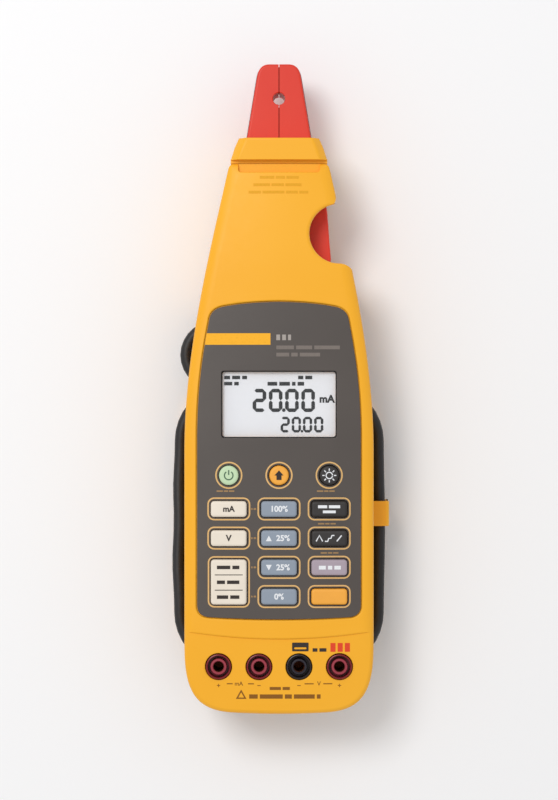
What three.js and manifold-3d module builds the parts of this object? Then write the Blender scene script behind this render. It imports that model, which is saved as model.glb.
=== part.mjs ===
// A process clamp meter: a keypad case with a display and four banana jacks, a spool for a lead on its
// back, and a slim clamp probe with one swinging jaw, docked behind the head of the case.
//
// Millimetres. +X is right as seen from the front, +Y runs towards the jaws and +Z comes out of the
// front face. The meter lies on its back: the origin is on the rear rest face, on the symmetry plane.
import * as THREE from "three";
import { mergeVertices } from "three/addons/utils/BufferGeometryUtils.js";
import Module from "manifold-3d";

const wasm = await Module();
wasm.setup();

// ---------------------------------------------------------------- driving dimensions
const GAP = 0.3; // left between pieces that touch

const FRONT_Z = 42; // flat of the front face
const PARTING_Z = 24; // where the two case halves meet
const PLATE_Z = 20; // front cheek of the spool
const CASE_WALL = 2.4;
const FACE_WALL_Z = 39.4; // inside of the front wall
const HEAD_Y = 84; // top edge of the case
const HEAD_FOOT_Y = 29.6; // from here up the front half reaches round the docked probe
const HEAD_REAR_Z = 6.5;
const FOOT_Y = -123; // bottom edge of the case
const CASE_HALF = 35.6; // half the width of the case

const SPOOL_HALF = 35.6; // the lead winds round this block
const SPOOL_TOP = -3.1;
const SPOOL_FOOT = -104.4;
const CHEEK_Z = 3.2; // thickness of the rear cheek
const CHEEK_HALF = 38;
const CHEEK_TOP = 4;
const CHEEK_FOOT = -110;

const PANEL_BED_Z = 41.1; // floor of the recess that holds the keypad panel
const PANEL_TOP_Z = 42.2;
const KEY_TOP_Z = 43.6;
const KEY_FLANGE_Z = 38.4; // underside of a key at rest
const KEY_COLUMN = 18.8;
const KEY_ROW = 10.93;
const FIRST_ROW = -45.7;
const ROUND_ROW = -33.1;
const KEY_WIDE = 13.4;
const KEY_HIGH = 5.9;
const KEY_ROUND_R = 3.65;

const WINDOW = [-21.6, 21.6, -19.1, 6]; // opening over the display: x0, x1, y0, y1

const JACK_Y = -105;
const JACK_X = [-22.7, -7.5, 7.5, 22.7];
const JACK_R = 4.75;

const PROBE_FRONT_Z = 36.2;
const PROBE_REAR_Z = 8.5;
const PROBE_SPLIT_Z = 22;
const PROBE_FOOT = 17;
const COLLAR_LOW_Y = 85.4;
const COLLAR_TOP_Y = 93.5;
const JAW_TIP_Y = 123;
const JAW_REAR_Z = 15;
const JAW_FRONT_Z = 29;
const PIVOT = [6, 86];
const HOLE_Y = 109.8; // centre of the conductor hole
const HOLE_R = 2.3;
const NOTCH = [22.6, 57.6];
const NOTCH_R = 11.2;

const LEAD_R = 2.2;
const LEAD_HALF = 38.3; // half the width of a turn of the lead
const LEAD_TOP = -0.7;
const LEAD_FOOT = -106.8;
const LEAD_CORNER = 20;
const LEAD_LAYERS = [16.9, 12.1, 7.3];

const CELL_R = 7.1;
const CELL_PITCH = 15.2;
const FIRST_CELL = -30.7;
const CELL_Z = 10.2;

const CASE_SCREWS = [
  [-29, -11],
  [29, -11],
  [-29, -96],
  [29, -96],
];
const DOOR_SCREWS = { battery_door_screw_top: -18.6, battery_door_screw_bottom: -88.6 };

// ---------------------------------------------------------------- solids
// A closed three.js geometry as a manifold-3d solid with its faces pointing out.
function toSolid(geometry) {
  const bare = geometry.index ? geometry.toNonIndexed() : geometry.clone();
  bare.deleteAttribute("normal");
  bare.deleteAttribute("uv");
  const merged = mergeVertices(bare, 1e-4);
  const corners = [];
  for (let i = 0; i < merged.index.count; i += 3) {
    const [a, b, c] = [0, 1, 2].map((k) => merged.index.getX(i + k));
    if (a !== b && b !== c && c !== a) corners.push(a, b, c);
  }
  const vertProperties = new Float32Array(merged.attributes.position.array);
  const build = (list) =>
    new wasm.Manifold(
      new wasm.Mesh({ numProp: 3, vertProperties, triVerts: new Uint32Array(list) }),
    );
  const solid = build(corners);
  return solid.volume() > 0 ? solid : build(corners.reverse());
}

function toGeometry(solid) {
  const mesh = solid.getMesh();
  const geometry = new THREE.BufferGeometry();
  geometry.setAttribute("position", new THREE.BufferAttribute(new Float32Array(mesh.vertProperties), 3));
  geometry.setIndex(new THREE.BufferAttribute(new Uint32Array(mesh.triVerts), 1));
  geometry.computeVertexNormals();
  return geometry;
}

const join = (first, ...others) => others.reduce((whole, piece) => whole.add(piece), first);
const cut = (first, ...tools) => tools.reduce((whole, tool) => whole.subtract(tool), first);
const common = (first, ...others) => others.reduce((whole, piece) => whole.intersect(piece), first);

function box(x0, x1, y0, y1, z0, z1) {
  const geometry = new THREE.BoxGeometry(x1 - x0, y1 - y0, z1 - z0);
  geometry.translate((x0 + x1) / 2, (y0 + y1) / 2, (z0 + z1) / 2);
  return toSolid(geometry);
}

// A round bar along Z.
function bar(x, y, radius, z0, z1, sides = 16) {
  const geometry = new THREE.CylinderGeometry(radius, radius, z1 - z0, sides);
  geometry.rotateX(Math.PI / 2);
  geometry.translate(x, y, (z0 + z1) / 2);
  return toSolid(geometry);
}

// A round bar or cone along X.
function barAlongX(y, z, radius0, radius1, x0, x1, sides = 16) {
  const geometry = new THREE.CylinderGeometry(radius1, radius0, x1 - x0, sides);
  geometry.rotateZ(-Math.PI / 2);
  geometry.translate((x0 + x1) / 2, y, z);
  return toSolid(geometry);
}

// A turned piece about a line along Z: the profile is a list of [radius, z].
function turned(x, y, profile, sides = 16) {
  const points = profile.map(([radius, z]) => new THREE.Vector2(radius, z));
  const geometry = new THREE.LatheGeometry(points, sides);
  geometry.rotateX(Math.PI / 2);
  geometry.translate(x, y, 0);
  return toSolid(geometry);
}

// A flat outline raised from z0 to z1.
function slab(shape, z0, z1, curveSegments = 3) {
  const geometry = new THREE.ExtrudeGeometry(shape, { depth: z1 - z0, bevelEnabled: false, curveSegments });
  geometry.translate(0, 0, z0);
  return toSolid(geometry);
}

// The same with both rims rounded.
function softSlab(shape, z0, z1, round, curveSegments = 3, bevelSegments = 2) {
  const geometry = new THREE.ExtrudeGeometry(shape, {
    depth: z1 - z0 - 2 * round,
    bevelThickness: round,
    bevelSize: round,
    bevelOffset: -round,
    bevelSegments,
    curveSegments,
  });
  geometry.translate(0, 0, z0 + round);
  return toSolid(geometry);
}

// A side view, drawn as [y, z] corners, as a solid from x0 to x1.
function sideSlab(corners, x0, x1) {
  const shape = new THREE.Shape(corners.map(([y, z]) => new THREE.Vector2(y, z)));
  const geometry = new THREE.ExtrudeGeometry(shape, { depth: x1 - x0, bevelEnabled: false });
  geometry.translate(0, 0, x0);
  const turn = new THREE.Matrix4().makeBasis(
    new THREE.Vector3(0, 1, 0),
    new THREE.Vector3(0, 0, 1),
    new THREE.Vector3(1, 0, 0),
  );
  geometry.applyMatrix4(turn);
  return toSolid(geometry);
}

// ---------------------------------------------------------------- outlines
function roundedRect(x, y, wide, high, r) {
  const [x0, x1, y0, y1] = [x - wide / 2, x + wide / 2, y - high / 2, y + high / 2];
  const shape = new THREE.Shape();
  shape.absarc(x1 - r, y0 + r, r, -Math.PI / 2, 0);
  shape.absarc(x1 - r, y1 - r, r, 0, Math.PI / 2);
  shape.absarc(x0 + r, y1 - r, r, Math.PI / 2, Math.PI);
  shape.absarc(x0 + r, y0 + r, r, Math.PI, Math.PI * 1.5);
  return shape;
}

// A closed outline from its right half, which runs from the top centre to the bottom centre.
function mirrored(half, divisions = 6) {
  const right = half.getPoints(divisions);
  const left = right
    .slice(1, -1)
    .reverse()
    .map((point) => new THREE.Vector2(-point.x, point.y));
  return new THREE.Shape([...right, ...left]);
}

// An outline moved outwards by a distance, or inwards when it is negative.
function offset(shape, distance) {
  const points = shape.getPoints(3).filter((p, i, all) => p.distanceTo(all[(i + 1) % all.length]) > 1e-6);
  const turn = THREE.ShapeUtils.isClockWise(points) ? 1 : -1;
  const normal = (a, b) => new THREE.Vector2(-(b.y - a.y), b.x - a.x).normalize().multiplyScalar(turn);
  const moved = points.map((point, i) => {
    const before = normal(points.at(i - 1), point);
    const after = normal(point, points[(i + 1) % points.length]);
    const middle = before.clone().add(after).normalize();
    return point.clone().addScaledVector(middle, distance / middle.dot(before));
  });
  return new THREE.Shape(moved);
}

// The case from the front: a narrow head that widens in one long curve to straight sides.
function caseOutline() {
  const half = new THREE.Path();
  half.moveTo(0, HEAD_Y);
  half.lineTo(13.6, HEAD_Y);
  half.quadraticCurveTo(18.7, HEAD_Y, 19.8, HEAD_Y - 5);
  half.bezierCurveTo(26.8, 48, CASE_HALF, 12, CASE_HALF, -24);
  half.lineTo(CASE_HALF, -98);
  half.bezierCurveTo(CASE_HALF, -115, 31, -121.6, 18, FOOT_Y + 0.5);
  half.quadraticCurveTo(9, FOOT_Y, 0, FOOT_Y);
  return mirrored(half);
}

// The dark panel: an arched top, sides that follow the case, and a slightly bowed bottom.
function panelOutline() {
  const half = new THREE.Path();
  half.moveTo(0, 31.9);
  half.quadraticCurveTo(13, 31.7, 21.4, 30);
  half.quadraticCurveTo(25.4, 29, 26.1, 25.6);
  half.bezierCurveTo(27.8, 16, 30.7, 3, 30.7, -20);
  half.lineTo(30.7, -81.8);
  half.quadraticCurveTo(30.7, -86, 26.2, -86.3);
  half.quadraticCurveTo(13, -87, 0, -87);
  return mirrored(half, 5);
}

// The probe's handle, as wide as the dock in the head lets it be.
function probeOutline() {
  const half = new THREE.Path();
  half.moveTo(0, COLLAR_LOW_Y + 1);
  half.lineTo(16.8, COLLAR_LOW_Y + 1);
  half.lineTo(16.6, 80);
  half.bezierCurveTo(14.4, 62, 12.6, 52, 12.6, 38);
  half.lineTo(12.6, PROBE_FOOT + 4);
  half.quadraticCurveTo(12.6, PROBE_FOOT, 8.6, PROBE_FOOT);
  half.lineTo(0, PROBE_FOOT);
  return mirrored(half, 4);
}

// The finger barrier at the root of the jaws.
function collarOutline() {
  return new THREE.Shape([
    new THREE.Vector2(-18.3, COLLAR_LOW_Y),
    new THREE.Vector2(18.3, COLLAR_LOW_Y),
    new THREE.Vector2(16.7, 90),
    new THREE.Vector2(15.1, COLLAR_TOP_Y),
    new THREE.Vector2(-15.1, COLLAR_TOP_Y),
    new THREE.Vector2(-16.7, 90),
  ]);
}

// The two jaws together, tapering to a rounded tip.
function jawOutline() {
  const half = new THREE.Path();
  half.moveTo(0, JAW_TIP_Y);
  half.lineTo(3.6, JAW_TIP_Y);
  half.bezierCurveTo(6.4, JAW_TIP_Y, 7.9, 121.4, 8.4, 118);
  half.lineTo(12.2, 95);
  half.lineTo(12.2, 86);
  half.lineTo(0, 86);
  return mirrored(half, 5);
}

// Everything right of the edge of the finger notch.
function notchOutline() {
  const shape = new THREE.Shape();
  shape.moveTo(44, 78);
  shape.lineTo(22.4, 78);
  shape.lineTo(21.3, 72.2);
  shape.quadraticCurveTo(22, 68.7, 18.4, 67.98);
  shape.absarc(NOTCH[0], NOTCH[1], NOTCH_R, THREE.MathUtils.degToRad(112), Math.PI * 1.5);
  shape.quadraticCurveTo(26.8, NOTCH[1] - NOTCH_R, 29.6, 41);
  shape.lineTo(44, 30);
  return shape;
}

// The room that the trigger sweeps, with clearance.
function triggerRoom() {
  return new THREE.Shape([
    new THREE.Vector2(7, 42.2),
    new THREE.Vector2(17.8, 42.2),
    new THREE.Vector2(20.8, 45.4),
    new THREE.Vector2(19.2, 69),
    new THREE.Vector2(16.2, 79),
    new THREE.Vector2(7, 79),
  ]);
}

// ---------------------------------------------------------------- keys
// Every key: its name, centre, size (a round key has none) and colour.
const KEY_COLOURS = {
  green: 0xb7cfa6,
  amber: 0xf0a63c,
  black: 0x1d1c1e,
  cream: 0xe6ded0,
  slate: 0x8b97a0,
  mauve: 0x9b8f97,
};
const keyRow = (row) => FIRST_ROW - KEY_ROW * row;
const KEYS = [
  { name: "key_power", x: -KEY_COLUMN, y: ROUND_ROW, colour: "green" },
  { name: "key_function", x: 0, y: ROUND_ROW, colour: "amber" },
  { name: "key_backlight", x: KEY_COLUMN, y: ROUND_ROW, colour: "black" },
  { name: "key_measure", x: -KEY_COLUMN, y: keyRow(0), high: KEY_HIGH, colour: "cream" },
  { name: "key_source", x: -KEY_COLUMN, y: keyRow(1), high: KEY_HIGH, colour: "cream" },
  { name: "key_loop", x: -KEY_COLUMN, y: keyRow(2.5), high: KEY_HIGH + KEY_ROW, colour: "cream" },
  { name: "key_percent_100", x: 0, y: keyRow(0), high: KEY_HIGH, colour: "slate" },
  { name: "key_step_up", x: 0, y: keyRow(1), high: KEY_HIGH, colour: "slate" },
  { name: "key_step_down", x: 0, y: keyRow(2), high: KEY_HIGH, colour: "slate" },
  { name: "key_percent_0", x: 0, y: keyRow(3), high: KEY_HIGH, colour: "slate" },
  { name: "key_span", x: KEY_COLUMN, y: keyRow(0), high: KEY_HIGH, colour: "black" },
  { name: "key_ramp", x: KEY_COLUMN, y: keyRow(1), high: KEY_HIGH, colour: "black" },
  { name: "key_setup", x: KEY_COLUMN, y: keyRow(2), high: KEY_HIGH, colour: "mauve" },
  { name: "key_blank", x: KEY_COLUMN, y: keyRow(3), high: KEY_HIGH, colour: "amber" },
];

// A key's outline, grown by a margin all round.
function keyOutline(key, margin = 0) {
  if (key.high) {
    return roundedRect(key.x, key.y, KEY_WIDE + 2 * margin, key.high + 2 * margin, 1.2 + margin);
  }
  const shape = new THREE.Shape();
  shape.absarc(key.x, key.y, KEY_ROUND_R + margin, 0, Math.PI * 2);
  return shape;
}
const keyCurve = (key) => (key.high ? 1 : 8);

// A cap that stands through the panel, on a flange that the front wall holds in.
function keySolid(key) {
  const cap = softSlab(keyOutline(key), KEY_FLANGE_Z + 0.1, KEY_TOP_Z, 0.5, keyCurve(key), 1);
  const flange = slab(keyOutline(key, 0.9), KEY_FLANGE_Z, FACE_WALL_Z - GAP, keyCurve(key));
  return join(cap, flange);
}

// ---------------------------------------------------------------- the case
const screwPosts = () => CASE_SCREWS.map(([x, y]) => bar(x, y, 3.2, PARTING_Z + 0.15, FACE_WALL_Z + 0.2));
const dockSlab = (z0, z1, margin) => slab(offset(probeOutline(), margin), z0, z1);

function frontCase() {
  const sideView = [
    [-130, PARTING_Z + 0.15],
    [HEAD_FOOT_Y, PARTING_Z + 0.15],
    [HEAD_FOOT_Y, HEAD_REAR_Z - 1],
    [90, HEAD_REAR_Z - 1],
    [90, 39.4],
    [68, 41.2],
    [42, FRONT_Z],
    [-94, FRONT_Z],
    [-130, 40],
  ];
  const shell = common(softSlab(caseOutline(), HEAD_REAR_Z, FRONT_Z, 3, 3, 3), sideSlab(sideView, -45, 45));
  const inside = slab(offset(caseOutline(), -CASE_WALL), 0, 50);
  const rooms = join(
    common(inside, box(-45, 45, -130, HEAD_FOOT_Y + CASE_WALL, PARTING_Z - 1, FACE_WALL_Z)),
    common(inside, box(-45, 45, HEAD_FOOT_Y + CASE_WALL, 81, HEAD_REAR_Z + CASE_WALL, 37.4)),
  );
  const walls = [
    dockSlab(0, 50, 2.6),
    bar(...NOTCH, NOTCH_R + 2.2, 0, 50, 24),
    slab(offset(triggerRoom(), 1.6), 0, 50),
    ...screwPosts(),
  ];
  const windows = [
    dockSlab(0, PROBE_FRONT_Z + 0.5, 0.6),
    slab(triggerRoom(), 0, JAW_FRONT_Z + 1),
    slab(notchOutline(), 0, 50, 10),
    slab(offset(panelOutline(), 0.3), PANEL_BED_Z, 50),
    box(-23.3, 23.3, -20.8, 7.7, 40.3, 50),
    box(...WINDOW, FACE_WALL_Z - 1, 50),
    ...KEYS.map((key) => slab(keyOutline(key, GAP), FACE_WALL_Z - 1, 50, keyCurve(key))),
    ...JACK_X.map((x) => bar(x, JACK_Y, JACK_R + GAP, PARTING_Z, 50, 20)),
    ...CASE_SCREWS.map(([x, y]) => bar(x, y, 1.7, PARTING_Z - 1, 35, 12)),
  ];
  return cut(shell, cut(rooms, ...walls), ...windows);
}

function rearCase() {
  const outline = caseOutline();
  const spool = roundedRect(0, (SPOOL_TOP + SPOOL_FOOT) / 2, 2 * SPOOL_HALF, SPOOL_TOP - SPOOL_FOOT, 17.6);
  const cheek = roundedRect(0, (CHEEK_TOP + CHEEK_FOOT) / 2, 2 * CHEEK_HALF, CHEEK_TOP - CHEEK_FOOT, 20);
  const outer = join(
    common(slab(outline, PLATE_Z, PARTING_Z - 0.15), box(-45, 45, -130, HEAD_FOOT_Y - GAP, 0, 50)),
    slab(spool, CHEEK_Z - 0.5, PLATE_Z + 0.5, 4),
    softSlab(cheek, 0, CHEEK_Z, 0.8, 4, 1),
  );
  const inside = slab(offset(outline, -CASE_WALL), 0, 50);
  return cut(
    outer,
    common(inside, box(-45, 45, -130, 14.6, PLATE_Z + 1.8, 50)),
    dockSlab(0, 50, 0.6),
    box(-28.8, 28.8, -84.6, -22.6, 2, 18), // battery compartment
    box(-30.4, 30.4, -93.4, -14, -1, 2.2), // bed of its door
    box(-24, 24, -101, -88, 13.5, 50), // room under the jacks
    cut(box(-24, 24, -20.6, -5.6, 5, 50), bar(0, DOOR_SCREWS.battery_door_screw_top, 3, 0, 14)),
    box(-33.4, -30.4, -84, -16, 5, 50),
    box(30.4, 33.4, -84, -16, 5, 50),
    box(-13, 21, -110, -95.2, CHEEK_Z, 11.4), // mouth for the end of the lead
    box(30.6, 50, -53.6, -43.4, PLATE_Z + 0.1, 22.6), // seat of the cable retainer
    ...CASE_SCREWS.flatMap(([x, y]) => [bar(x, y, 3.1, -1, 8.1), bar(x, y, 1.7, 0, 50, 12)]),
    ...Object.values(DOOR_SCREWS).map((y) => bar(0, y, 1.5, 0, 11, 12)),
  );
}

function batteryDoor() {
  const door = softSlab(roundedRect(0, -53.7, 60, 78.6, 1.6), 0, 1.9, 0.4, 2, 1);
  const grips = [-44, -48, -52, -56, -60].map((y) => box(-9, 9, y - 0.7, y + 0.7, -1, 0.5));
  const holes = Object.values(DOOR_SCREWS).map((y) =>
    turned(0, y, [
      [0, -1],
      [3, -1],
      [3, 0.9],
      [1.6, 1.3],
      [1.6, 5],
      [0, 5],
    ]),
  );
  return cut(door, ...grips, ...holes);
}

// A cross recess for a screwdriver, from z0 to z1.
function crossSlot(x, y, long, short, z0, z1) {
  const slot = (wide, high) => box(x - wide, x + wide, y - high, y + high, z0, z1);
  return join(slot(long, short), slot(short, long));
}

// A pan-head screw from the back of the meter into the front half of the case.
function caseScrew(x, y) {
  const headZ = 5.6;
  const headR = 2.6;
  const shankR = 1.4;
  const profile = [
    [0, headZ],
    [headR * 0.8, headZ],
    [headR, headZ + 0.5],
    [headR, headZ + 1.6],
    [shankR, headZ + 1.6],
    [shankR, headZ + 27.2],
    [0, headZ + 28],
  ];
  return cut(turned(x, y, profile, 12), crossSlot(x, y, headR * 0.6, 0.35, headZ - 1, headZ + 0.9));
}

// A countersunk screw, flush with the battery door.
function doorScrew(y) {
  const profile = [
    [0, 0.15],
    [2.6, 0.15],
    [2.6, 0.6],
    [1.2, 1.1],
    [1.2, 9.2],
    [0, 10],
  ];
  return cut(turned(0, y, profile, 12), crossSlot(0, y, 1.6, 0.3, -1, 0.7));
}

function keypadPanel() {
  const plate = softSlab(panelOutline(), PANEL_BED_Z + GAP, PANEL_TOP_Z, 0.2, 3, 1);
  const holes = KEYS.map((key) => slab(keyOutline(key, GAP), 40, 50, keyCurve(key)));
  return cut(plate, box(...WINDOW, 40, 50), ...holes);
}

function mainBoard() {
  const board = slab(roundedRect(0, -45, 60, 108, 2), 34.6, 36.2, 1);
  return cut(board, ...CASE_SCREWS.map(([x, y]) => bar(x, y, 3.6, 30, 40)));
}

// Low domes under the keys, on one sheet.
function keypadMat() {
  const sheet = slab(roundedRect(0, -56, 58, 58, 2), 36.6, 37.2, 1);
  const domes = KEYS.map((key) => turned(key.x, key.y, [[0, 36.9], [2.6, 36.9], [2, 37.45], [0, 37.45]], 10));
  return join(sheet, ...domes);
}

// A shrouded banana socket: a cup with a hollow post in the middle.
function jackHousing(x) {
  const rim = 41.3;
  return turned(x, JACK_Y, [
    [2.75, 25.5],
    [JACK_R, 25.5],
    [JACK_R, rim - 0.3],
    [JACK_R - 0.3, rim],
    [4.2, rim],
    [4.2, 28],
    [3, 28],
    [3, rim - 0.5],
    [2.05, rim - 0.5],
    [2.05, 39.9],
    [2.75, 39.6],
    [2.75, 25.5],
  ]);
}

function jackSleeve(x) {
  return turned(x, JACK_Y, [
    [0, 24.4],
    [0.8, 24.4],
    [0.8, 25.8],
    [2.45, 25.8],
    [2.45, 39.3],
    [2, 39.3],
    [2, 27.5],
    [0, 27.5],
  ], 12);
}

function batteryCell(index) {
  const y = FIRST_CELL - CELL_PITCH * index;
  const side = index % 2 ? -1 : 1; // the cells lie head to tail
  const [tail, shoulder, nub] = [-24.9 * side, 24.3 * side, 25.6 * side];
  return join(
    barAlongX(y, CELL_Z, CELL_R, CELL_R, Math.min(tail, shoulder), Math.max(tail, shoulder), 20),
    barAlongX(y, CELL_Z, 2.7, 2.7, Math.min(0, nub), Math.max(0, nub), 12),
  );
}

// A plate with a raised button for each cell.
function batteryContact(side) {
  const [inner, outer] = [27.5 * side, 28.3 * side];
  const last = FIRST_CELL - CELL_PITCH * 3;
  const plate = box(Math.min(inner, outer), Math.max(inner, outer), last - 6.6, FIRST_CELL + 6.6, 4, 16);
  const buttons = [0, 1, 2, 3].map((index) => {
    const y = FIRST_CELL - CELL_PITCH * index;
    return barAlongX(y, CELL_Z, 1.8, 1.8, Math.min(25.95 * side, outer), Math.max(25.95 * side, outer), 10);
  });
  return join(plate, ...buttons);
}

// ---------------------------------------------------------------- the clamp probe
function probeBody() {
  const handle = softSlab(probeOutline(), PROBE_REAR_Z, PROBE_FRONT_Z, 2.4);
  const collar = softSlab(collarOutline(), 5, 40.8, 1.4);
  const root = box(-18, 18, HEAD_Y + 0.3, COLLAR_LOW_Y + 0.5, 6.6, 37.4); // floor of the groove below it
  const inside = common(
    slab(offset(probeOutline(), -1.7), PROBE_REAR_Z + 1.8, PROBE_FRONT_Z - 1.8),
    box(-30, 30, 0, 82.4, 0, 50),
  );
  const jawSlot = box(-12.6, 13.8, 80, 100, JAW_REAR_Z - 0.4, JAW_FRONT_Z + 0.4);
  return cut(
    join(handle, collar, root),
    inside,
    jawSlot,
    slab(triggerRoom(), JAW_REAR_Z - 0.6, JAW_FRONT_Z + 0.6),
    bar(...NOTCH, NOTCH_R + 1, JAW_FRONT_Z + 0.5, 50, 32), // bares the trigger in the finger notch
    bar(...PIVOT, 1.8, 10, 34.2, 12), // pivot pin
    bar(...PIVOT, 5.2, 22, 34.4), // room for the spring
    barAlongX(23.5, 15, 3.5, 3.5, -20, -8),
  );
}

const probeFrontShell = () => common(probeBody(), box(-30, 30, 0, 110, PROBE_SPLIT_Z + 0.15, 50));
const probeRearShell = () => common(probeBody(), box(-30, 30, 0, 110, 0, PROBE_SPLIT_Z - 0.15));

// A half ring round the conductor hole, between two angles in degrees.
function coreArc(inner, outer, from, to, z0, z1) {
  const shape = new THREE.Shape();
  const [a, b] = [THREE.MathUtils.degToRad(from), THREE.MathUtils.degToRad(to)];
  shape.absarc(0, HOLE_Y, outer, a, b);
  shape.absarc(0, HOLE_Y, inner, b, a, true);
  return slab(shape, z0, z1, 5);
}
const CORE_INNER = 3.8;
const CORE_OUTER = 7.2;
const jawPair = () =>
  cut(softSlab(jawOutline(), JAW_REAR_Z, JAW_FRONT_Z, 1.4), bar(0, HOLE_Y, HOLE_R, 0, 50, 24));

function fixedJaw() {
  const jaw = common(jawPair(), box(-20, -0.15, 80, 130, 0, 50));
  const root = box(-12.2, -1.6, 76.5, 88, JAW_REAR_Z, JAW_FRONT_Z);
  const pocket = coreArc(CORE_INNER - 0.3, CORE_OUTER + 0.3, 89.9, 270.1, 17.4, 26.6);
  return cut(join(jaw, root), pocket);
}

// The jaw, its lever and its trigger are one moulding that swings on the pivot pin.
function movingJaw() {
  const jaw = common(jawPair(), box(0.15, 20, 80, 130, 0, 50));
  const lever = new THREE.Shape([
    new THREE.Vector2(4, 90),
    new THREE.Vector2(1.6, 84),
    new THREE.Vector2(8.8, 70.4),
    new THREE.Vector2(9.6, 66),
    new THREE.Vector2(9.6, 45.2),
    new THREE.Vector2(17.6, 45.2),
    new THREE.Vector2(19.9, 47.2),
    new THREE.Vector2(18.3, 67.8),
    new THREE.Vector2(14.9, 77.5),
    new THREE.Vector2(12.2, 89),
  ]);
  const pocket = coreArc(CORE_INNER - 0.3, CORE_OUTER + 0.3, -90.1, 90.1, 17.4, 26.6);
  const peg = bar(11.4, 75.6, 0.9, JAW_FRONT_Z - 1, 32.6, 10);
  const moulding = join(jaw, softSlab(lever, JAW_REAR_Z, JAW_FRONT_Z, 0.8, 3, 1), peg);
  return cut(moulding, pocket, bar(...PIVOT, 1.7, 0, 50, 12));
}

const movingCore = () => coreArc(CORE_INNER, CORE_OUTER, -87, 87, 17.8, 26.2);
const fixedCore = (from, to) => coreArc(CORE_INNER, CORE_OUTER, from, to, 17.8, 26.2);
const hallSensor = () => box(-6.8, -4.4, HOLE_Y - 0.35, HOLE_Y + 0.35, 19, 25);

// A torsion spring on the pivot: three turns and two straight legs.
class SpringWire extends THREE.Curve {
  getPoint(t, target = new THREE.Vector3()) {
    const turns = 2.6;
    const [legStart, legEnd] = [0.12, 0.88];
    const wound = THREE.MathUtils.clamp((t - legStart) / (legEnd - legStart), 0, 1);
    const angle = Math.PI * (1.06 - 2 * turns * wound);
    const [x, y] = [Math.cos(angle) * 3.6, Math.sin(angle) * 3.6];
    const leg = t < legStart ? (legStart - t) * 80 : t > legEnd ? (legEnd - t) * 80 : 0;
    const along = new THREE.Vector2(Math.sin(angle), -Math.cos(angle));
    return target.set(PIVOT[0] + x - along.x * leg, PIVOT[1] + y - along.y * leg, 30.2 + 3.3 * wound);
  }
}

function wireAlong(curve, radius, steps, sides) {
  const section = new THREE.Shape();
  section.absarc(0, 0, radius, 0, Math.PI * 2);
  const geometry = new THREE.ExtrudeGeometry(section, {
    steps,
    extrudePath: curve,
    curveSegments: sides / 2,
    bevelEnabled: false,
  });
  return toSolid(geometry);
}

// ---------------------------------------------------------------- the lead
// Out of the probe's strain relief, round in a loop at the left, then nearly three turns round the
// spool, one layer behind the other, and into the case at the foot of the spool.
function leadRoute() {
  const points = [];
  const add = (x, y, z) => points.push(new THREE.Vector3(x, y, z));
  const arc = (cx, cy, r, from, to, z, count) => {
    for (let i = 1; i <= count; i += 1) {
      const angle = THREE.MathUtils.degToRad(from + ((to - from) * i) / count);
      add(cx + r * Math.cos(angle), cy + r * Math.sin(angle), z);
    }
  };
  const inner = LEAD_HALF - LEAD_CORNER;
  const [high, low] = [LEAD_TOP - LEAD_CORNER, LEAD_FOOT + LEAD_CORNER];
  add(-24.3, 23.5, 15);
  add(-25, 23.5, 15);
  arc(-25, 12.5, 11, 90, 270, 15.6, 6);
  add(-12, 0.4, 16.4);
  LEAD_LAYERS.forEach((z, layer) => {
    const last = layer === LEAD_LAYERS.length - 1;
    add(0, LEAD_TOP, z);
    add(inner, LEAD_TOP, z);
    arc(inner, high, LEAD_CORNER, 90, 0, z, 4);
    add(LEAD_HALF, (high + low) / 2, z);
    add(LEAD_HALF, low, z);
    arc(inner, low, LEAD_CORNER, 0, -90, z, 4);
    if (last) return;
    add(0, LEAD_FOOT, z);
    add(-inner, LEAD_FOOT, z);
    arc(-inner, low, LEAD_CORNER, 270, 180, z, 4);
    const next = LEAD_LAYERS[layer + 1];
    add(-LEAD_HALF, (2 * low + high) / 3, z + (next - z) / 3);
    add(-LEAD_HALF, (low + 2 * high) / 3, z + ((next - z) * 2) / 3);
    add(-LEAD_HALF, high, next);
    arc(-inner, high, LEAD_CORNER, 180, 90, next, 4);
  });
  add(9, -104.4, 7.3);
  add(4, -101.6, 7.3);
  add(-1, -100.2, 7.3);
  add(-3.4, -100.2, 7.3);
  return points;
}

// The lead as a tube with one ring of corners at each point of its route.
function leadSolid() {
  const points = leadRoute();
  const path = new THREE.CurvePath();
  points.slice(1).forEach((point, i) => path.add(new THREE.LineCurve3(points[i], point)));
  const section = [0, 1, 2, 3, 4, 5, 6, 7].map((k) => (Math.PI * (k + 0.5)) / 4);
  const up = new THREE.Vector3(0, 0, 1);
  const rings = points.map((point, i) => {
    const before = points[Math.max(i - 1, 0)];
    const after = points[Math.min(i + 1, points.length - 1)];
    const along = after.clone().sub(before).normalize();
    const side = new THREE.Vector3().crossVectors(along, up).normalize();
    const rise = new THREE.Vector3().crossVectors(side, along);
    return section.map((angle) =>
      point
        .clone()
        .addScaledVector(side, LEAD_R * Math.cos(angle))
        .addScaledVector(rise, LEAD_R * Math.sin(angle)),
    );
  });
  const sides = section.length;
  const corners = [];
  for (let i = 0; i + 1 < rings.length; i += 1) {
    for (let k = 0; k < sides; k += 1) {
      const [a, b] = [i * sides + k, i * sides + ((k + 1) % sides)];
      corners.push(a, b, b + sides, a, b + sides, a + sides);
    }
  }
  const lastRing = (rings.length - 1) * sides;
  for (let k = 1; k + 1 < sides; k += 1) {
    corners.push(0, k + 1, k);
    corners.push(lastRing, lastRing + k, lastRing + k + 1);
  }
  const geometry = new THREE.BufferGeometry().setFromPoints(rings.flat());
  geometry.setIndex(corners);
  return toSolid(geometry);
}

const probeStrainRelief = () =>
  join(
    barAlongX(23.5, 15, 2.5, 3.9, -24, -13),
    barAlongX(23.5, 15, 3.2, 3.2, -13.5, -9.6),
    barAlongX(23.5, 15, 3.8, 3.8, -10.5, -9),
  );

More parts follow.
